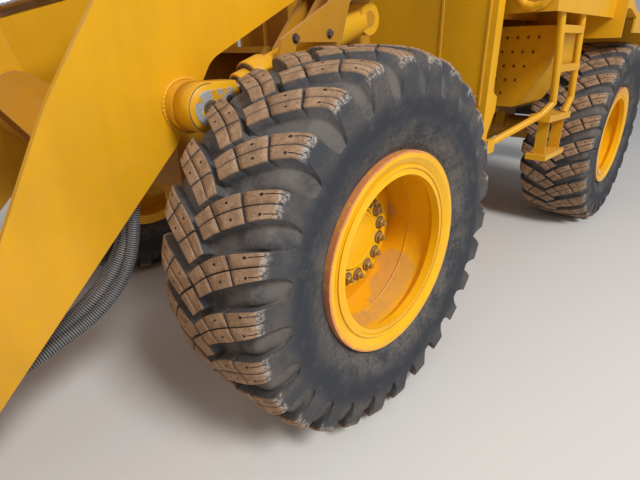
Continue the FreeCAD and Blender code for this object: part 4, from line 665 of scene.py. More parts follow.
def lens_material(name, colour):
    """Ribbed lamp glass."""
    material, tree, shader = new_material(name, coat_weight=0.6)
    place = object_place(tree)
    ribs = node(tree, "ShaderNodeTexWave", {"Vector": place, "Scale": 26.0}, bands_direction="Y",
                wave_type="BANDS").outputs["Fac"]
    film = effect(tree, earth_film, {"Base": colour, "Earth": colours().dust, "Amount": 0.3,
                                     "Scale": 12.0})
    tree.links.new(film["Colour"], shader["Base Color"])
    tree.links.new(maths(tree, "MULTIPLY_ADD", film["Cover"], 0.5, 0.12), shader["Roughness"])
    tree.links.new(bumped(tree, ribs, 0.002), shader["Normal"])
    return material


def fabric_material():
    """Seat cloth: a fine weave of crossing waves with lighter piping by the mark seam."""
    material, tree, shader = new_material("seat_cloth", sheen_weight=0.3)
    place = object_place(tree)
    warp = node(tree, "ShaderNodeTexWave", {"Vector": place, "Scale": 150.0},
                bands_direction="Y").outputs["Fac"]
    weft = node(tree, "ShaderNodeTexWave", {"Vector": place, "Scale": 150.0},
                bands_direction="DIAGONAL").outputs["Fac"]
    weave = maths(tree, "MULTIPLY", warp, weft)
    seam = node(tree, "ShaderNodeAttribute", attribute_name="seam").outputs["Fac"]
    cloth = blended(tree, weave, (0.030, 0.031, 0.034, 1), (0.075, 0.077, 0.083, 1))
    cloth = blended(tree, maths(tree, "MULTIPLY", seam, 0.7), cloth, (0.16, 0.16, 0.165, 1))
    film = effect(tree, earth_film, {"Base": cloth, "Earth": colours().dust, "Amount": 0.25,
                                     "Scale": 8.0})
    tree.links.new(film["Colour"], shader["Base Color"])
    tree.links.new(maths(tree, "MULTIPLY_ADD", weave, 0.15, 0.75), shader["Roughness"])
    tree.links.new(bumped(tree, weave, 0.0008), shader["Normal"])
    return material


MATERIALS = {}
BARE = {
    # name: colour, metallic, roughness, earth, noise scale
    "chrome": ((0.78, 0.79, 0.80, 1), 1.0, 0.12, 0.12, 9.0),
    "zinc": ((0.40, 0.40, 0.39, 1), 0.9, 0.36, 0.55, 14.0),
    "rim_nut": ((0.36, 0.210, 0.035, 1), 0.25, 0.42, 0.45, 22.0),
    "cast": ((0.13, 0.125, 0.12, 1), 0.4, 0.62, 0.6, 6.0),
    "dark": ((0.028, 0.028, 0.030, 1), 0.0, 0.48, 0.35, 4.0),
    "plastic": ((0.045, 0.045, 0.048, 1), 0.0, 0.50, 0.30, 5.0),
    "seal": ((0.018, 0.018, 0.019, 1), 0.0, 0.62, 0.45, 8.0),
    "grease": ((0.030, 0.026, 0.022, 1), 0.0, 0.30, 0.35, 20.0),
}


def finish(name):
    """The material of this name, made on its first use."""
    if name not in MATERIALS:
        if name in BARE:
            colour, metallic, rough, earth, scale = BARE[name]
            made = bare_material(name, colour, metallic, rough, earth, scale)
        elif name.startswith("rim_"):
            made = rim_material(name[4:])
        else:
            made = {
                "paint": lambda: paint_material("body_paint", colours().paint),
                "low_paint": lambda: paint_material("frame_paint", colours().paint, 0.75, 0.7, 0.8,
                                                    0.04),
                # darker base yellow: painted shade on the towers, front frame and cross tube; the heavy dust and
                # chips on it are real grime
                "grimy_paint": lambda: paint_material("grimy_paint", (0.52, 0.235, 0.006, 1), 0.95,
                                                      1.0, 0.9, 0.0),
                "dark_paint": lambda: paint_material("dark_paint", colours().dark, 0.5, 0.5, 0.8,
                                                     0.15),
                "tyre": tyre_material, "bucket": bucket_material, "hose": hose_material,
                "keeper": keeper_material,
                "glass": glass_material, "fabric": fabric_material,
                "lens": lambda: lens_material("clear_lens", (0.62, 0.64, 0.64, 1)),
                "red_lens": lambda: lens_material("red_lens", (0.42, 0.012, 0.008, 1)),
            }[name]()
        MATERIALS[name] = made
    return MATERIALS[name]


NODE_FINISH = {
    "paint": ("cab", "cab_roof", "hood", "lift_arm_left", "lift_arm_right", "tanks", "platforms",
              "ladders", "door_left", "door_right", "lift_left_barrel", "lift_right_barrel",
              "tilt_barrel", "cab_base", "cab_stands"),
    # these parts take the darker yellow, painted shade, under their grime
    "grimy_paint": ("towers", "front_frame", "arm_cross_tube"),
    "low_paint": ("rear_frame", "rear_yoke", "tilt_lever", "tilt_link", "steer_left_barrel", "steer_right_barrel",
                  "front_axle", "rear_axle"),
    "chrome": ("lift_left_rod", "lift_right_rod", "tilt_rod", "steer_left_rod",
               "steer_right_rod"),
    "bucket": ("bucket",),
    "glass": ("cab_glass", "door_glass_left", "door_glass_right"),
    "plastic": ("console", "seat"),
    "cast": ("engine", "gearbox"),
    "dark_paint": ("counterweight", "tow_hitch", "stacks"),
    "dark": ("head_lamps", "work_lamps"),
    "red_lens": ("tail_lamps",),
    "tyre": tuple("tyre_" + name for name in WHEELS),
    "seal": ("hose_1", "hose_2", "hose_3"),
}


# Tyres

def through(stations, at):
    """A smooth curve through stations (distance, values...): cubic pieces whose slopes are the
    mean of the neighbouring runs."""
    stations = np.asarray(stations, float)
    distance, values = stations[:, 0], stations[:, 1:]
    slope = np.gradient(values, distance, axis=0)
    place = np.clip(np.searchsorted(distance, at, side="right") - 1, 0, len(distance) - 2)
    run = (distance[place + 1] - distance[place])[:, None]
    share = ((at - distance[place])[:, None] / run)
    share2, share3 = share ** 2, share ** 3
    return ((2 * share3 - 3 * share2 + 1) * values[place]
            + (share3 - 2 * share2 + share) * run * slope[place]
            + (3 * share2 - 2 * share3) * values[place + 1]
            + (share3 - share2) * run * slope[place + 1])


CROWN = (
    # distance round the section from the middle, across, radius of the lugs' tops
    (0, 0, .6645), (.060, .060, .6640), (.120, .120, .6615), (.165, .165, .6570),
    (.199, .198, .6495), (.218, .216, .6425), (.234, .228, .6320), (.254, .2345, .6120),
    (.280, .238, .5850), (.308, .2395, .5550), (.335, .240, .5260), (.378, .237, .4820),
    (.420, .229, .4375), (.460, .215, .4000), (.484, .204, .3800), (.500, .196, .3680),
    (.515, .190, .3580), (.545, .187, .3300), (.555, .186, .3210),
)
HOLLOW = (
    # the same for the bottoms of the grooves
    (0, 0, .629), (.060, .060, .629), (.120, .120, .6265), (.165, .163, .619),
    (.199, .190, .606), (.218, .206, .590), (.234, .217, .572), (.254, .2245, .555),
    (.280, .2285, .545), (.308, .2325, .534), (.335, .240, .5260), (.378, .237, .4820),
    (.420, .229, .4375), (.460, .215, .4000), (.484, .204, .3800), (.500, .196, .3680),
    (.515, .190, .3580), (.545, .187, .3300), (.555, .186, .3210),
)
ROWS = np.array((
    .0060, .0095, .013, .030, .048, .0640, .0655, .0693, .0708, .086, .102, .118, .134, .1483,
    .1498, .1542, .1557, .166, .176, .186, .196, .206, .216, .224, .232, .240, .249, .258, .268,
    .278, .288, .298, .308, .318, .326, .334, .350, .368, .386, .404, .410, .414, .420, .436,
    .452, .466, .478, .484, .490, .500, .508, .515, .530, .545, .555))
COLUMNS = np.array((
    # share of a pitch round one lug and the groove after it, height, and how far the rows
    # shift across there, which makes the lugs' inner ends and their wide cuts run aslant
    (0.000, .10, -.0425), (0.030, 1, -.0395), (0.045, 1, -.0380), (0.130, 1, -.0295),
    (0.215, 1, -.0210), (0.2945, 1, -.0130), (0.3000, 1, -.0125), (0.3200, 1, -.0105),
    (0.3255, 1, -.0100), (0.400, 1, -.0025), (0.490, 1, .0065), (0.575, 1, .0150),
    (0.590, 1, .0165), (0.620, .10, .0195), (0.670, .02, .0300), (0.740, 0, .0430),
    (0.800, 0, .0480), (0.870, 0, .0500), (0.965, 0, .0500), (0.980, .02, .0050)))
SHIFT_SHARE = ((0, .067, .152, .225, .252), (1, 1.16, .8, .1, 0))
LUGS = 26
PITCH = 2 * np.pi / LUGS
LUG_TURN = math.radians(3.8)


def slant(across):
    """How far a lug runs round the tread towards the middle: a straight slant and an
    exponential that steepens it near the middle, in metres at the tops' radius."""
    reach = np.minimum(across, .25)
    return .34 * (.222 - reach) + .0504 * (np.exp(-reach / .09) - .0849)


def half_tyre(side):
    """One half of a tyre from the middle to its bead, as row-by-row arrays.
    Across and radius run from the groove's curve to the crown's by the lug's height, which is
    the product of the height round the pitch and the height across the tread. The rows shift
    across by the columns' shift, each point turns by the slant at its place across, and the
    groove widens outwards and closes beyond the tread as a half ellipse."""
    crown = through(CROWN, ROWS)
    hollow = through(HOLLOW, ROWS)
    share, tall = COLUMNS[:, 0][None, :], COLUMNS[:, 1][None, :]
    past = np.clip((ROWS - .250) / .084, 0, 1)[:, None]
    half_groove = (.16 + .09 * np.minimum(ROWS[:, None] / .235, 1.06) ** 1.5) * np.sqrt(1 - past ** 2)
    half_groove = np.where(ROWS[:, None] > .334, .19, np.maximum(half_groove, .05))
    half_groove = half_groove + .006 * np.sin(ROWS[:, None] * 40)
    in_lug = .31 + (share - .31) * (.5 - half_groove) / .31
    in_groove = .81 + (share - .81) * half_groove / .19
    phase = np.where(share > .62, in_groove, in_lug)
    inner = np.clip((ROWS - .0060) / .0035, 0, 1)[:, None]
    height = (tall * inner)[:, None, :] * np.ones((1, LUGS, 1))
    wide_cut = (np.abs(ROWS - .0674) < .0025) | (np.abs(ROWS - .1520) < .0025)
    on_lug = (share > .02) & (share < .60)
    split = (share > .298) & (share < .322) & (ROWS[:, None] > .011) & (ROWS[:, None] < .262)
    cut = np.where((wide_cut[:, None] | split) & on_lug, sizes().sipe_depth, 0)
    fade = np.clip((.262 - ROWS) / .05, 0, 1)[:, None]
    lug_index = np.arange(LUGS)[:, None]
    chipped = 0.0012 * np.sin(lug_index * 2.3 + COLUMNS[:, 0][None, :] * 9)[None]
    shift = COLUMNS[:, 2][None, :] * np.interp(ROWS, *SHIFT_SHARE)[:, None]
    across = hollow[:, 0, None, None] + (crown - hollow)[:, 0, None, None] * height
    across = across + shift[:, None, :]
    radius = hollow[:, 1, None, None] + (crown - hollow)[:, 1, None, None] * height
    radius = radius - (cut * fade)[:, None, :] - (
        chipped * (height > .5) * (ROWS < .22)[:, None, None])
    ring = 0.0022 * np.exp(-((ROWS - .412) / .004) ** 2) + 0.0018 * np.exp(
        -((ROWS - .485) / .005) ** 2)
    turn = (LUG_TURN + (lug_index[None] + phase[:, None, :] - .31) * PITCH
            + slant(across) / .665 - (PITCH / 2 if side < 0 else 0))
    across = across + ring[:, None, None]
    top = height * (cut[:, None, :] == 0) * np.minimum(1, np.abs(tall - .5) * 2)
    flat = (len(ROWS), -1)
    shape = np.ones_like(height)
    return {
        "turn": turn.reshape(flat), "across": side * across.reshape(flat),
        "radius": radius.reshape(flat), "lug_top": (top * (ROWS < .28)[:, None, None]).reshape(flat),
        "tread_u": (phase[:, None, :] * shape).reshape(flat),
        "tread_v": (side * ROWS[:, None, None] * shape).reshape(flat),
        "floor": ((1 - height) * (ROWS < .334)[:, None, None]).reshape(flat),
    }


def zipped(left, right):
    """Triangles between two closed rows of angles, left and right of the middle. Each run of a
    row takes as its third corner the other row's point that its own middle has reached."""
    count = len(left)

    def middles(row):
        return (row + np.append(row[1:], row[0] + 2 * np.pi)) / 2

    def reached(row, places):
        wrapped = np.concatenate([middles(row) + turn for turn in (-2 * np.pi, 0, 2 * np.pi)])
        return np.searchsorted(wrapped, places) % count

    start = np.arange(count)
    after = (start + 1) % count
    on_right = reached(right, middles(left)) + count
    on_left = reached(left, middles(right))
    return np.concatenate([np.stack([on_right, after, start], -1),
                           np.stack([start + count, after + count, on_left], -1)])


def tyre_arrays():
    """The points of both halves, left first, and their faces. The floor between the halves is
    closed by triangles, because the right half is turned by half a pitch."""
    left, right = half_tyre(1), half_tyre(-1)
    whole = {key: np.concatenate([left[key], right[key]]) for key in left}
    rows, columns = left["turn"].shape
    shell = grid_faces(rows, columns, close_columns=True)
    seam = zipped(left["turn"][0], right["turn"][0])
    seam = np.where(seam < columns, seam, seam - columns + rows * columns)
    return whole, [shell, shell[:, ::-1] + rows * columns, seam]


def make_tyre(name, whole, faces):
    hub = middle("rim_" + name)
    hub[1] = float(middle("tyre_" + name)[1])
    turn, radius = whole["turn"], whole["radius"]
    points = np.stack([hub[0] + radius * np.sin(turn), hub[1] + whole["across"],
                       HUB_Z + radius * np.cos(turn)], -1)
    marks = {key: whole[key] for key in ("lug_top", "tread_u", "tread_v", "floor")}
    marks["height"] = radius
    made = piece("tread_" + name, points.reshape(-1, 3), faces, finish("tyre"), "wheel_" + name,
                 "tyre_rubber", marks)
    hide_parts("tyre_" + name)
    return made


class LOADER_OT_tyres(bpy.types.Operator):
    """Four tyres with two staggered rows of slanted, siped lugs"""
    bl_idname = "loader.tyres"
    bl_label = "Tyres"

    def execute(self, context):
        whole, faces = tyre_arrays()
        for name in WHEELS:
            make_tyre(name, whole, faces)
        return {"FINISHED"}


class LOADER_OT_rims(bpy.types.Operator):
    """Nuts with painted shade discs under them, a painted shade ring round the hub, hub plate, lock ring, weld
    seam and valve of each rim
    """
    bl_idname = "loader.rims"
    bl_label = "Rims"

    def execute(self, context):
        for name in WHEELS:
            hub = middle("rim_" + name)
            way = np.array((0, side_of(name), 0.0))
            count = sizes().nut_count
            turn = np.radians(14) + np.arange(count) * 2 * np.pi / count
            circle = np.stack([np.cos(turn), np.zeros(count), np.sin(turn)], -1)
            face = hub + way * 0.013
            nuts = repeated(nut_shape(0.0160, 0.018, 0.012), standing(np.tile(way, (count, 1))),
                            face + circle * sizes().nut_circle)
            piece("nuts_" + name, *nuts, finish("rim_nut"), "wheel_" + name, "worn_steel",
                  flat=True)
            # dark discs under the nuts and a thin dark ring round the hub: painted shade in the recesses and the
            # gap
            nut_shade_discs = merged([turned([(0.0004, 0.0265), (0.0014, 0.0255), (0.0014, 0.0)],
                                  face + spoke * sizes().nut_circle, way, 20)
                           for spoke in circle])
            gap_shade_ring = turned([(0.0134, .1235), (0.0142, .1225), (0.0142, .1175), (0.0134, .1165)],
                         hub, way, 64)
            piece("nut_painted_shade_" + name, *merged([nut_shade_discs, gap_shade_ring]), finish("grease"), "wheel_" + name,
                  "dark_paint")
            seam_turn = np.linspace(0, 2 * np.pi, 260)
            seam = np.stack([hub[0] + .3005 * np.cos(seam_turn),
                             np.full(260, hub[1] + side_of(name) * 0.055),
                             hub[2] + .3005 * np.sin(seam_turn)], -1)
            ring = turned([(0.2065, .3075), (0.2085, .3050), (0.2085, .2990), (0.2060, .2965)],
                          hub, way, 96)
            step = turned([(0.1985, .2885), (0.2015, .2865), (0.2015, .2845), (0.1985, .2825)],
                          hub, way, 96)
            stem_place = hub + np.array((0.20, 0, 0.205))
            stem = turned([(0.02, .030), (0.075, .030), (0.085, .024), (0.085, 0)],
                          stem_place - way * 0.02, way, 20)
            cap = turned([(0.0215, .117), (0.0235, .115), (0.0235, .104), (0.0215, .102)], hub,
                         way, 64)
            parts = [swept(seam, 0.0032 * (1 + .3 * np.sin(np.arange(260) * 1.9)), 6),
                     ring, step, stem, cap]
            piece("rim_trim_" + name, *merged(parts), finish("rim_" + name), "wheel_" + name,
                  "rim_yellow")
        return {"FINISHED"}


# Hoses

def spline_points(route):
    """The route as points read from its NURBS spline, evenly spaced by a twelfth of a rib."""
    curve = bpy.data.curves.new("route", "CURVE")
    curve.dimensions = "3D"
    curve.resolution_u = 24
    spline = curve.splines.new("NURBS")
    spline.points.add(len(route) - 1)
    for control, (x, y, z) in zip(spline.points, route):
        control.co = (FRONT_X + x, y, z, 1)
    spline.order_u = 3
    spline.use_endpoint_u = True
    holder = bpy.data.objects.new("route", curve)
    bpy.context.scene.collection.objects.link(holder)
    bpy.context.view_layer.update()
    mesh = bpy.data.meshes.new_from_object(holder)
    line = np.empty(len(mesh.vertices) * 3)
    mesh.vertices.foreach_get("co", line)
    bpy.data.objects.remove(holder)
    line = line.reshape(-1, 3)
    reach = np.concatenate([[0], np.cumsum(np.linalg.norm(np.diff(line, axis=0), axis=1))])
    steps = int(reach[-1] / (sizes().rib_pitch / 6))
    along = np.linspace(0, reach[-1], steps)
    return np.stack([np.interp(along, reach, line[:, axis]) for axis in range(3)], -1), reach[-1]


class LOADER_OT_hoses(bpy.types.Operator):
    """Three work hoses in ribbed sleeves inside the left arm"""
    bl_idname = "loader.hoses"
    bl_label = "Hoses"

    def execute(self, context):
        for index, route in enumerate(HOSE_ROUTES, start=1):
            line, length = spline_points(route)
            along = np.linspace(0, length, len(line))
            rib = 0.5 + 0.5 * np.cos(2 * np.pi * along / sizes().rib_pitch)
            points, faces = swept(line, 0.0172 + 0.0036 * rib ** 0.7, 20)
            made = piece(f"hose_sleeve_{index}", points, faces, finish("hose"), "boom",
                         "hose_rubber", {"rib": np.repeat(np.concatenate([[0], rib, [0]]), 20)})
            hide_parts(f"hose_{index}")
            shell = [(-.052, .0205), (-.050, .0232), (-.012, .0232), (-.010, .0250),
                     (-.001, .0250), (-.001, .0205)]
            fitting = piece(f"hose_fitting_{index}", *turned(shell, line[-1], (1, 0, 0), 24),
                            finish("zinc"), "boom", "worn_steel")
            upper = [(-.001, .0205), (-.001, .0250), (-.010, .0250), (-.012, .0232),
                     (-.050, .0232), (-.052, .0205)]
            piece(f"hose_ferrule_{index}", *turned(upper, line[0], (0, 0, 1), 24),
                  finish("zinc"), "boom", "worn_steel")
        return {"FINISHED"}


# Lift eyes, pins and plates

def extruded(outline, inner, outer, edge=0.004):
    """A plate from an outline in the X and Z directions, between two distances across, whose
    outer face is drawn in by a small bevel."""
    outline = np.asarray(outline, float)
    centre = outline.mean(0)
    out = outline - centre
    share = 1 - edge / np.linalg.norm(out, axis=1, keepdims=True)
    way = np.sign(outer - inner)
    rows = []
    for level, ring in ((inner, out * 0), (inner, out), (outer - way * edge, out),
                        (outer, out * share), (outer, out * 0)):
        flat = ring + centre
        rows.append(np.stack([flat[:, 0], np.full(len(flat), level), flat[:, 1]], -1))
    turned_out = np.sum(np.cross(outline, np.roll(outline, -1, axis=0))) * way > 0
    faces = grid_faces(5, len(outline), close_columns=True)
    return np.array(rows).reshape(-1, 3), faces if turned_out else faces[:, ::-1]


def drop_outline(centre, run, radius, neck, reach, steps=28):
    """An eye's outline: a circle about the centre whose flanks run to a narrower neck."""
    run = np.asarray(run, float)
    up = np.array((-run[1], run[0]))
    start = math.acos(min(1, (radius - neck) / reach))
    turn = np.linspace(start, 2 * np.pi - start, steps)[:, None]
    ring = centre + radius * (np.cos(turn) * run + np.sin(turn) * up)
    return np.concatenate([[centre + run * reach + up * neck], ring,
                           [centre + run * reach - up * neck]])


class LOADER_OT_keepers(bpy.types.Operator):
    """Cast rod ends, keeper plates, bolts and gland collars of the lift cylinders"""
    bl_idname = "loader.keepers"
    bl_label = "Pin keepers"

    def execute(self, context):
        for name in ("left", "right"):
            side = side_of(name)
            way = np.array((0, side, 0.0))
            eye = LIFT_EYE * (1, side, 1)
            base = np.array((FRONT_X - .42, side * LIFT_EYE[1], 1.425))
            length = np.linalg.norm(eye - base)
            slope = (eye - base) / length
            back = np.array((-slope[0], -slope[2]))
            rod_body, barrel_body = f"lift_{name}_rod_body", f"lift_{name}_barrel_body"
            face = side * (LIFT_EYE[1] + .0475)
            cast = extruded(drop_outline(eye[[0, 2]], back, .0785, .040, .128),
                            side * (LIFT_EYE[1] - .0475), face, .007)
            neck = turned([(-.114, .0305), (-.114, .038), (-.108, .042), (-.090, .043),
                           (-.075, .042)], eye, slope, 32)
            piece(f"rod_end_{name}", *merged([cast, neck]), finish("paint"), rod_body,
                  "loader_yellow")
            tip = extruded(drop_outline(eye[[0, 2]], back, .056, .028, .105), face - side * .002,
                           face + side * .0035, .002)
            piece(f"keeper_plate_{name}", *tip, finish("keeper"), rod_body, "worn_steel",
                  flat=True)
            centre = np.array((eye[0], face + side * .0035, eye[2]))
            hub = turned([(0, .027), (.004, .027), (.006, .025), (.006, .017), (.001, .015),
                          (.001, 0)], centre, way, 28)
            bolt = bolts([centre + way * .001], way, .0125, .012)
            side_bolt = bolts([centre + np.array((back[0], 0, back[1])) * .075], way, .009, .008)
            piece(f"keeper_bolt_{name}", *merged([hub, bolt, side_bolt]), finish("grease"),
                  rod_body, "worn_steel", flat=True)
            small = turned([(.628, .0312), (.628, .0480), (.684, .0480), (.688, .0455),
                            (.688, .0400), (.682, .0380), (.680, .0312)], base, slope, 40)
            large = turned([(.560, .0545), (.562, .0660), (.566, .0680), (.632, .0680),
                            (.636, .0655), (.636, .0480)], base, slope, 48)
            piece(f"gland_{name}", *merged([small, large]), finish("paint"), barrel_body,
                  "loader_yellow")
            lip = turned([(.636, .0475), (.6405, .0500), (.6405, .0610), (.636, .0630)], base,
                         slope, 40)
            wiper = turned([(.680, .0400), (.691, .0385), (.692, .0335), (.686, .0312)], base,
                           slope, 40)
            piece(f"wiper_{name}", *merged([lip, wiper]), finish("grease"), barrel_body,
                  "dark_paint")
            ring_turn = np.linspace(0, 2 * np.pi, 120)
            ring = np.stack([eye[0] + .086 * np.cos(ring_turn), np.full(120, side * .5215),
                             eye[2] + .086 * np.sin(ring_turn)], -1)
            ripple = .006 * (1 + .15 * np.sin(np.arange(120) * 2.0))
            piece(f"boss_weld_{name}", *swept(ring, ripple, 8), finish("paint"), "boom",
                  "loader_yellow")
            pin = np.array((FRONT_X - .405, side * .705, 1.80))
            cap = turned([(0, .075), (.006, .075), (.010, .068), (.010, 0)], pin, way, 40)
            keeper = bolts([pin + way * .010 + (dx, 0, dz) for dx, dz in
                            ((.04, 0), (-.02, .035), (-.02, -.035))], way, .010, .009)
            piece(f"arm_pin_cap_{name}", *merged([cap, keeper]), finish("paint"), "front_half",
                  "loader_yellow")
        return {"FINISHED"}


# Frames: bolts and weld beads

class LOADER_OT_seams(bpy.types.Operator):
    """Weld beads on the frames, bolt heads on the guard plates and folds on the bulkhead"""
    bl_idname = "loader.seams"
    bl_label = "Seams and bolts"

    def execute(self, context):
        x = FRONT_X
        beads = [bead(np.array([(-.56, .551, 1.032), (-.085, .551, 1.032)]) + (x, 0, 0))]
        for start, end in (((-.54, .3285, 1.003), (-.13, .3285, 1.003)),
                           ((-.54, .3285, 1.160), (-.20, .3285, 1.250))):
            beads.append(bead(np.array([start, end]) + (x, 0, 0)))
        beads += [mirrored(part) for part in list(beads)]
        piece("frame_welds", *merged(beads), finish("low_paint"), "front_half", "loader_yellow")
        spots = [(.040, 1.352), (-.130, 1.368), (-.30, 1.56), (-.50, 1.60), (-.50, 1.74),
                 (-.32, 1.74)]
        left = np.array([(x + along, .6992, height) for along, height in spots])
        heads = bolts(left, (0, 1, 0), .012, .012)
        piece("guard_bolts", *merged([heads, mirrored(heads)]), finish("grease"), "front_half",
              "worn_steel", flat=True)
        face = HITCH_X + .397
        low = float(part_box("cab_base")[0].z)
        folds = [block((face, .872, low + .30), (face + .006, .884, 1.55), .002),
                 block((face, .625, low + .34), (face + .005, .640, 1.55), .002),
                 block((face, .640, low + .34), (face + .004, .872, low + .352), .001)]
        piece("bulkhead_folds", *merged(folds + [mirrored(part) for part in folds]),
              finish("low_paint"), "chassis", "loader_yellow", flat=True)
        return {"FINISHED"}


# Cab: seat, seals and trim

def cushion(name, centre, half, lean, channels, body="chassis"):
    """A stuffed pad: a rounded box from two angles, where each coordinate is a power of a sine
    or cosine, crowned in its middle and drawn in along its sewn channels."""
    rows, columns = 72, 120
    tilt = np.linspace(-np.pi / 2, np.pi / 2, rows)[:, None]
    turn = np.linspace(0, 2 * np.pi, columns, endpoint=False)[None, :]

    def power(value, exponent):
        return np.sign(value) * np.abs(value) ** exponent

    along = power(np.cos(tilt), .32) * power(np.cos(turn), .36)
    across = power(np.cos(tilt), .32) * power(np.sin(turn), .36)
    up = power(np.sin(tilt), .45) * np.ones_like(turn)
    crown = 1 + .16 * (1 - along ** 2) * (1 - across ** 2)
    groove = sum(np.exp(-((along - place) / .035) ** 2) for place in channels)
    groove = groove + np.exp(-((np.abs(across) - .66) / .03) ** 2)
    sewn = np.clip(groove, 0, 1) * (up > .2)
    up = up * (crown - .16 * sewn)
    points = np.stack([along * half[0], across * half[1], up * half[2]], -1).reshape(-1, 3)
    turn_back = np.array(Matrix.Rotation(lean, 3, "Y"))
    points = points @ turn_back.T + centre
    made = piece(name, points, grid_faces(rows, columns, close_columns=True),
                 finish("fabric"), body, "seat_fabric", {"seam": sewn.ravel()})
    return made


class LOADER_OT_seat(bpy.types.Operator):
    """The operator's seat: base, cushion and back"""
    bl_idname = "loader.seat"
    bl_label = "Seat"

    def execute(self, context):
        low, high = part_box("seat")
        x = low.x + .34
        base = merged([block((x - .16, -.17, low.z), (x + .16, .17, low.z + .10), .01),
                       block((x - .13, -.14, low.z + .10), (x + .13, .14, low.z + .20), .01),
                       block((x - .20, -.21, low.z + .20), (x + .22, .21, low.z + .265), .012)])
        stand = piece("seat_base", *base, finish("plastic"), "chassis", "dash_plastic", flat=True)
        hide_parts("seat")
        cushion("seat_cushion", (x + .01, 0, low.z + .325), (.235, .235, .062), math.radians(-4),
                (-.25, .25))
        cushion("seat_back", (x - .19, 0, low.z + .66), (.30, .225, .055), math.radians(-98),
                (-.3, .0, .3))
        return {"FINISHED"}


def frame_strip(corners, width, thick, way):
    """A flat strip of the given width round a closed outline, standing proud by its thickness."""
    corners = np.asarray(corners, float)
    middle_place = corners.mean(0)
    inward = middle_place - corners
    inward /= np.linalg.norm(inward, axis=1, keepdims=True)
    rows = [corners, corners + way * thick, corners + way * thick + inward * width,
            corners + inward * width]
    return np.array(rows).reshape(-1, 3), grid_faces(4, len(corners), True, True)


class LOADER_OT_cab(bpy.types.Operator):
    """Window seals, door handles and wiper"""
    bl_idname = "loader.cab"
    bl_label = "Cab trim"

    def execute(self, context):
        for name in ("left", "right"):
            side = side_of(name)
            way = np.array((0, side, 0.0))
            low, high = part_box("door_glass_" + name)
            face = side * .7005
            ring = [(low.x - .01, face, low.z - .01), (high.x + .01, face, low.z - .01),
                    (high.x + .01, face, high.z + .01), (low.x - .01, face, high.z + .01)]
            seal = frame_strip(ring, .022, .006, way)
            if side < 0:
                seal = (seal[0], seal[1][:, ::-1])
            piece(f"door_seal_{name}", *seal, finish("seal"), f"door_{name}_body", "dark_paint",
                  flat=True)
            grip = np.array((high.x + .045, side * .70, 1.98))
            handle = merged([
                swept(np.array([grip, grip + way * .035, grip + way * .045 + (0, 0, .01),
                                grip + way * .045 + (0, 0, .11), grip + way * .035 + (0, 0, .12),
                                grip + (0, 0, .12)]), .008, 10),
                turned([(0, .028), (.006, .028), (.008, .024), (.008, 0)],
                       grip + np.array((0, 0, -.05)), way, 24)])
            piece(f"door_handle_{name}", *handle, finish("plastic"), f"door_{name}_body",
                  "dark_paint")
        low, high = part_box("cab_glass")
        front = high.x
        pivot = np.array((front + .004, .05, low.z + .03))
        arm = swept(np.array([pivot, pivot + (.010, 0, .02), pivot + (.004, .16, .40)]), .006, 8)
        blade = swept(np.array([pivot + (.000, .03, .20), pivot + (-.010, .29, .62)]), .008, 6)
        piece("wiper", *merged([arm, blade, turned([(-.02, .022), (.012, .022), (.016, .016),
                                                    (.016, 0)], pivot, (1, 0, 0), 20)]),
              finish("seal"), "chassis", "dark_paint")
        return {"FINISHED"}


class LOADER_OT_lamps(bpy.types.Operator):
    """Lenses of the head lamps and the work lamps"""
    bl_idname = "loader.lamps"
    bl_label = "Lamp lenses"

    def execute(self, context):
        for node_name, radius, body, inset in (("head_lamps", .060, "front_half", .010),
                                               ("work_lamps", .044, "chassis", .009)):
            low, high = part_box(node_name)
            if node_name == "head_lamps":
                centre = (high.x - inset, .799, high.z - .078)
            else:
                centre = (high.x - inset, .48, low.z + .056)
            dome = np.array([(-.004, radius)] + [(.006 * math.cos(a), radius * math.sin(a))
                                                for a in np.linspace(np.pi / 2, 0.0, 9)])
            lens = turned(dome, centre, (1, 0, 0), 40)
            piece(node_name + "_lens", *merged([lens, mirrored(lens)]), finish("lens"), body,
                  "lamp_glass")
        return {"FINISHED"}


class LOADER_OT_paint(bpy.types.Operator):
    """A finish for each node of the frame"""
    bl_idname = "loader.paint"
    bl_label = "Paint"

    def execute(self, context):
        wanted = {name: key for key, names in NODE_FINISH.items() for name in names}
        wanted.update({"rim_" + name: "rim_" + name for name in WHEELS})
        for name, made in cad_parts.items():
            made.data.materials.clear()
            made.data.materials.append(finish(wanted[name]))
        return {"FINISHED"}


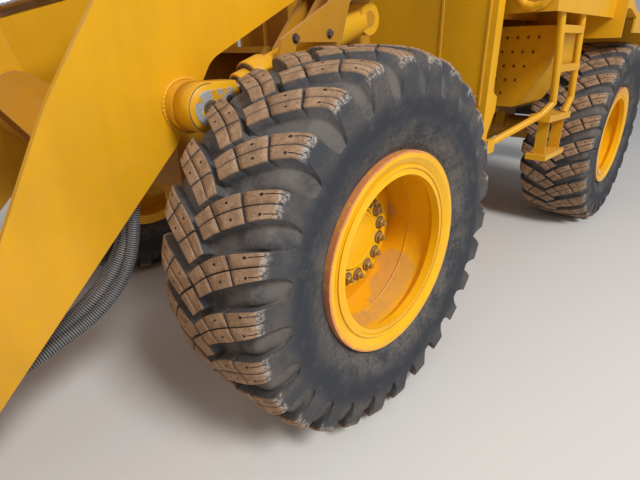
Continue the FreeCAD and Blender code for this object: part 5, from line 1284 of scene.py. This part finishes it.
class LOADER_OT_stage(bpy.types.Operator):
    """Pale floor, soft lamps and the camera at the photograph's viewing angle"""
    bl_idname = "loader.stage"
    bl_label = "Stage"

    def execute(self, context):
        scene = context.scene
        reach = 60.0
        corners = np.array([(-reach, -reach, 0), (reach, -reach, 0), (reach, reach, 0),
                            (-reach, reach, 0)])
        mesh = bpy.data.meshes.new("floor")
        mesh.from_pydata(corners.tolist(), [], [(0, 1, 2, 3)])
        floor = bpy.data.objects.new("floor", mesh)
        scene.collection.objects.link(floor)
        material, tree, shader = new_material("floor_grey", roughness=0.85)
        shader["Base Color"].default_value = (0.70, 0.68, 0.65, 1)
        mesh.materials.append(material)
        world = bpy.data.worlds.new("studio")
        world.use_nodes = True
        background = world.node_tree.nodes["Background"]
        background.inputs["Color"].default_value = (0.93, 0.95, 1.0, 1)
        background.inputs["Strength"].default_value = 0.33
        scene.world = world
        for name, place, size, power in (("key_lamp", (1.9, 7.5, 7.2), 2.6, 780),
                                         ("fill_lamp", (8.0, 1.0, 4.5), 6.0, 115)):
            light = bpy.data.lights.new(name, "AREA")
            light.energy = power
            light.size = size
            lamp = bpy.data.objects.new(name, light)
            lamp.location = place
            aim = Vector((0.2, 0.3, 0.7)) - Vector(place)
            lamp.rotation_euler = aim.to_track_quat("-Z", "Y").to_euler()
            scene.collection.objects.link(lamp)
        scene.view_settings.view_transform = "Standard"
        bearing, pitch, roll = (math.radians(angle) for angle in (-135.977, -23.471, -0.898))
        ahead = Vector((math.cos(pitch) * math.cos(bearing), math.cos(pitch) * math.sin(bearing),
                        math.sin(pitch)))
        right = ahead.cross(Vector((0, 0, 1))).normalized()
        up = right.cross(ahead)
        level_right = right * math.cos(roll) + up * math.sin(roll)
        level_up = up * math.cos(roll) - right * math.sin(roll)
        camera = bpy.data.objects.new("camera", bpy.data.cameras.new("camera"))
        camera.data.sensor_width = 36
        camera.data.lens = 24.949
        camera.data.clip_start = 0.05
        turn = Matrix((level_right, level_up, -ahead)).transposed()
        camera.matrix_world = Matrix.Translation((FRONT_X + 1.1785, 1.8997, 1.3224)) @ turn.to_4x4()
        scene.collection.objects.link(camera)
        scene.camera = camera
        return {"FINISHED"}


OPERATORS = (LOADER_OT_stage, LOADER_OT_paint, LOADER_OT_tyres, LOADER_OT_rims, LOADER_OT_hoses,
             LOADER_OT_keepers, LOADER_OT_seams, LOADER_OT_seat, LOADER_OT_cab, LOADER_OT_lamps)


class LOADER_PT_panel(bpy.types.Panel):
    """The steps that finish the loader"""
    bl_idname = "LOADER_PT_panel"
    bl_label = "Wheel loader"
    bl_space_type = "VIEW_3D"
    bl_region_type = "UI"
    bl_category = "Loader"

    def draw(self, context):
        for operator in OPERATORS:
            self.layout.operator(operator.bl_idname)
        for group in (context.scene.loader_sizes, context.scene.loader_colours):
            for key in group.__annotations__:
                self.layout.prop(group, key)


CLASSES = (LoaderSizes, LoaderColours) + OPERATORS + (LOADER_PT_panel,)


def register():
    for item in CLASSES:
        bpy.utils.register_class(item)
    bpy.types.Scene.loader_sizes = bpy.props.PointerProperty(type=LoaderSizes)
    bpy.types.Scene.loader_colours = bpy.props.PointerProperty(type=LoaderColours)


def unregister():
    del bpy.types.Scene.loader_colours
    del bpy.types.Scene.loader_sizes
    for item in reversed(CLASSES):
        bpy.utils.unregister_class(item)


def main():
    register()
    for operator in OPERATORS:
        group, name = operator.bl_idname.split(".")
        getattr(getattr(bpy.ops, group), name)()


if __name__ == "__main__":
    main()
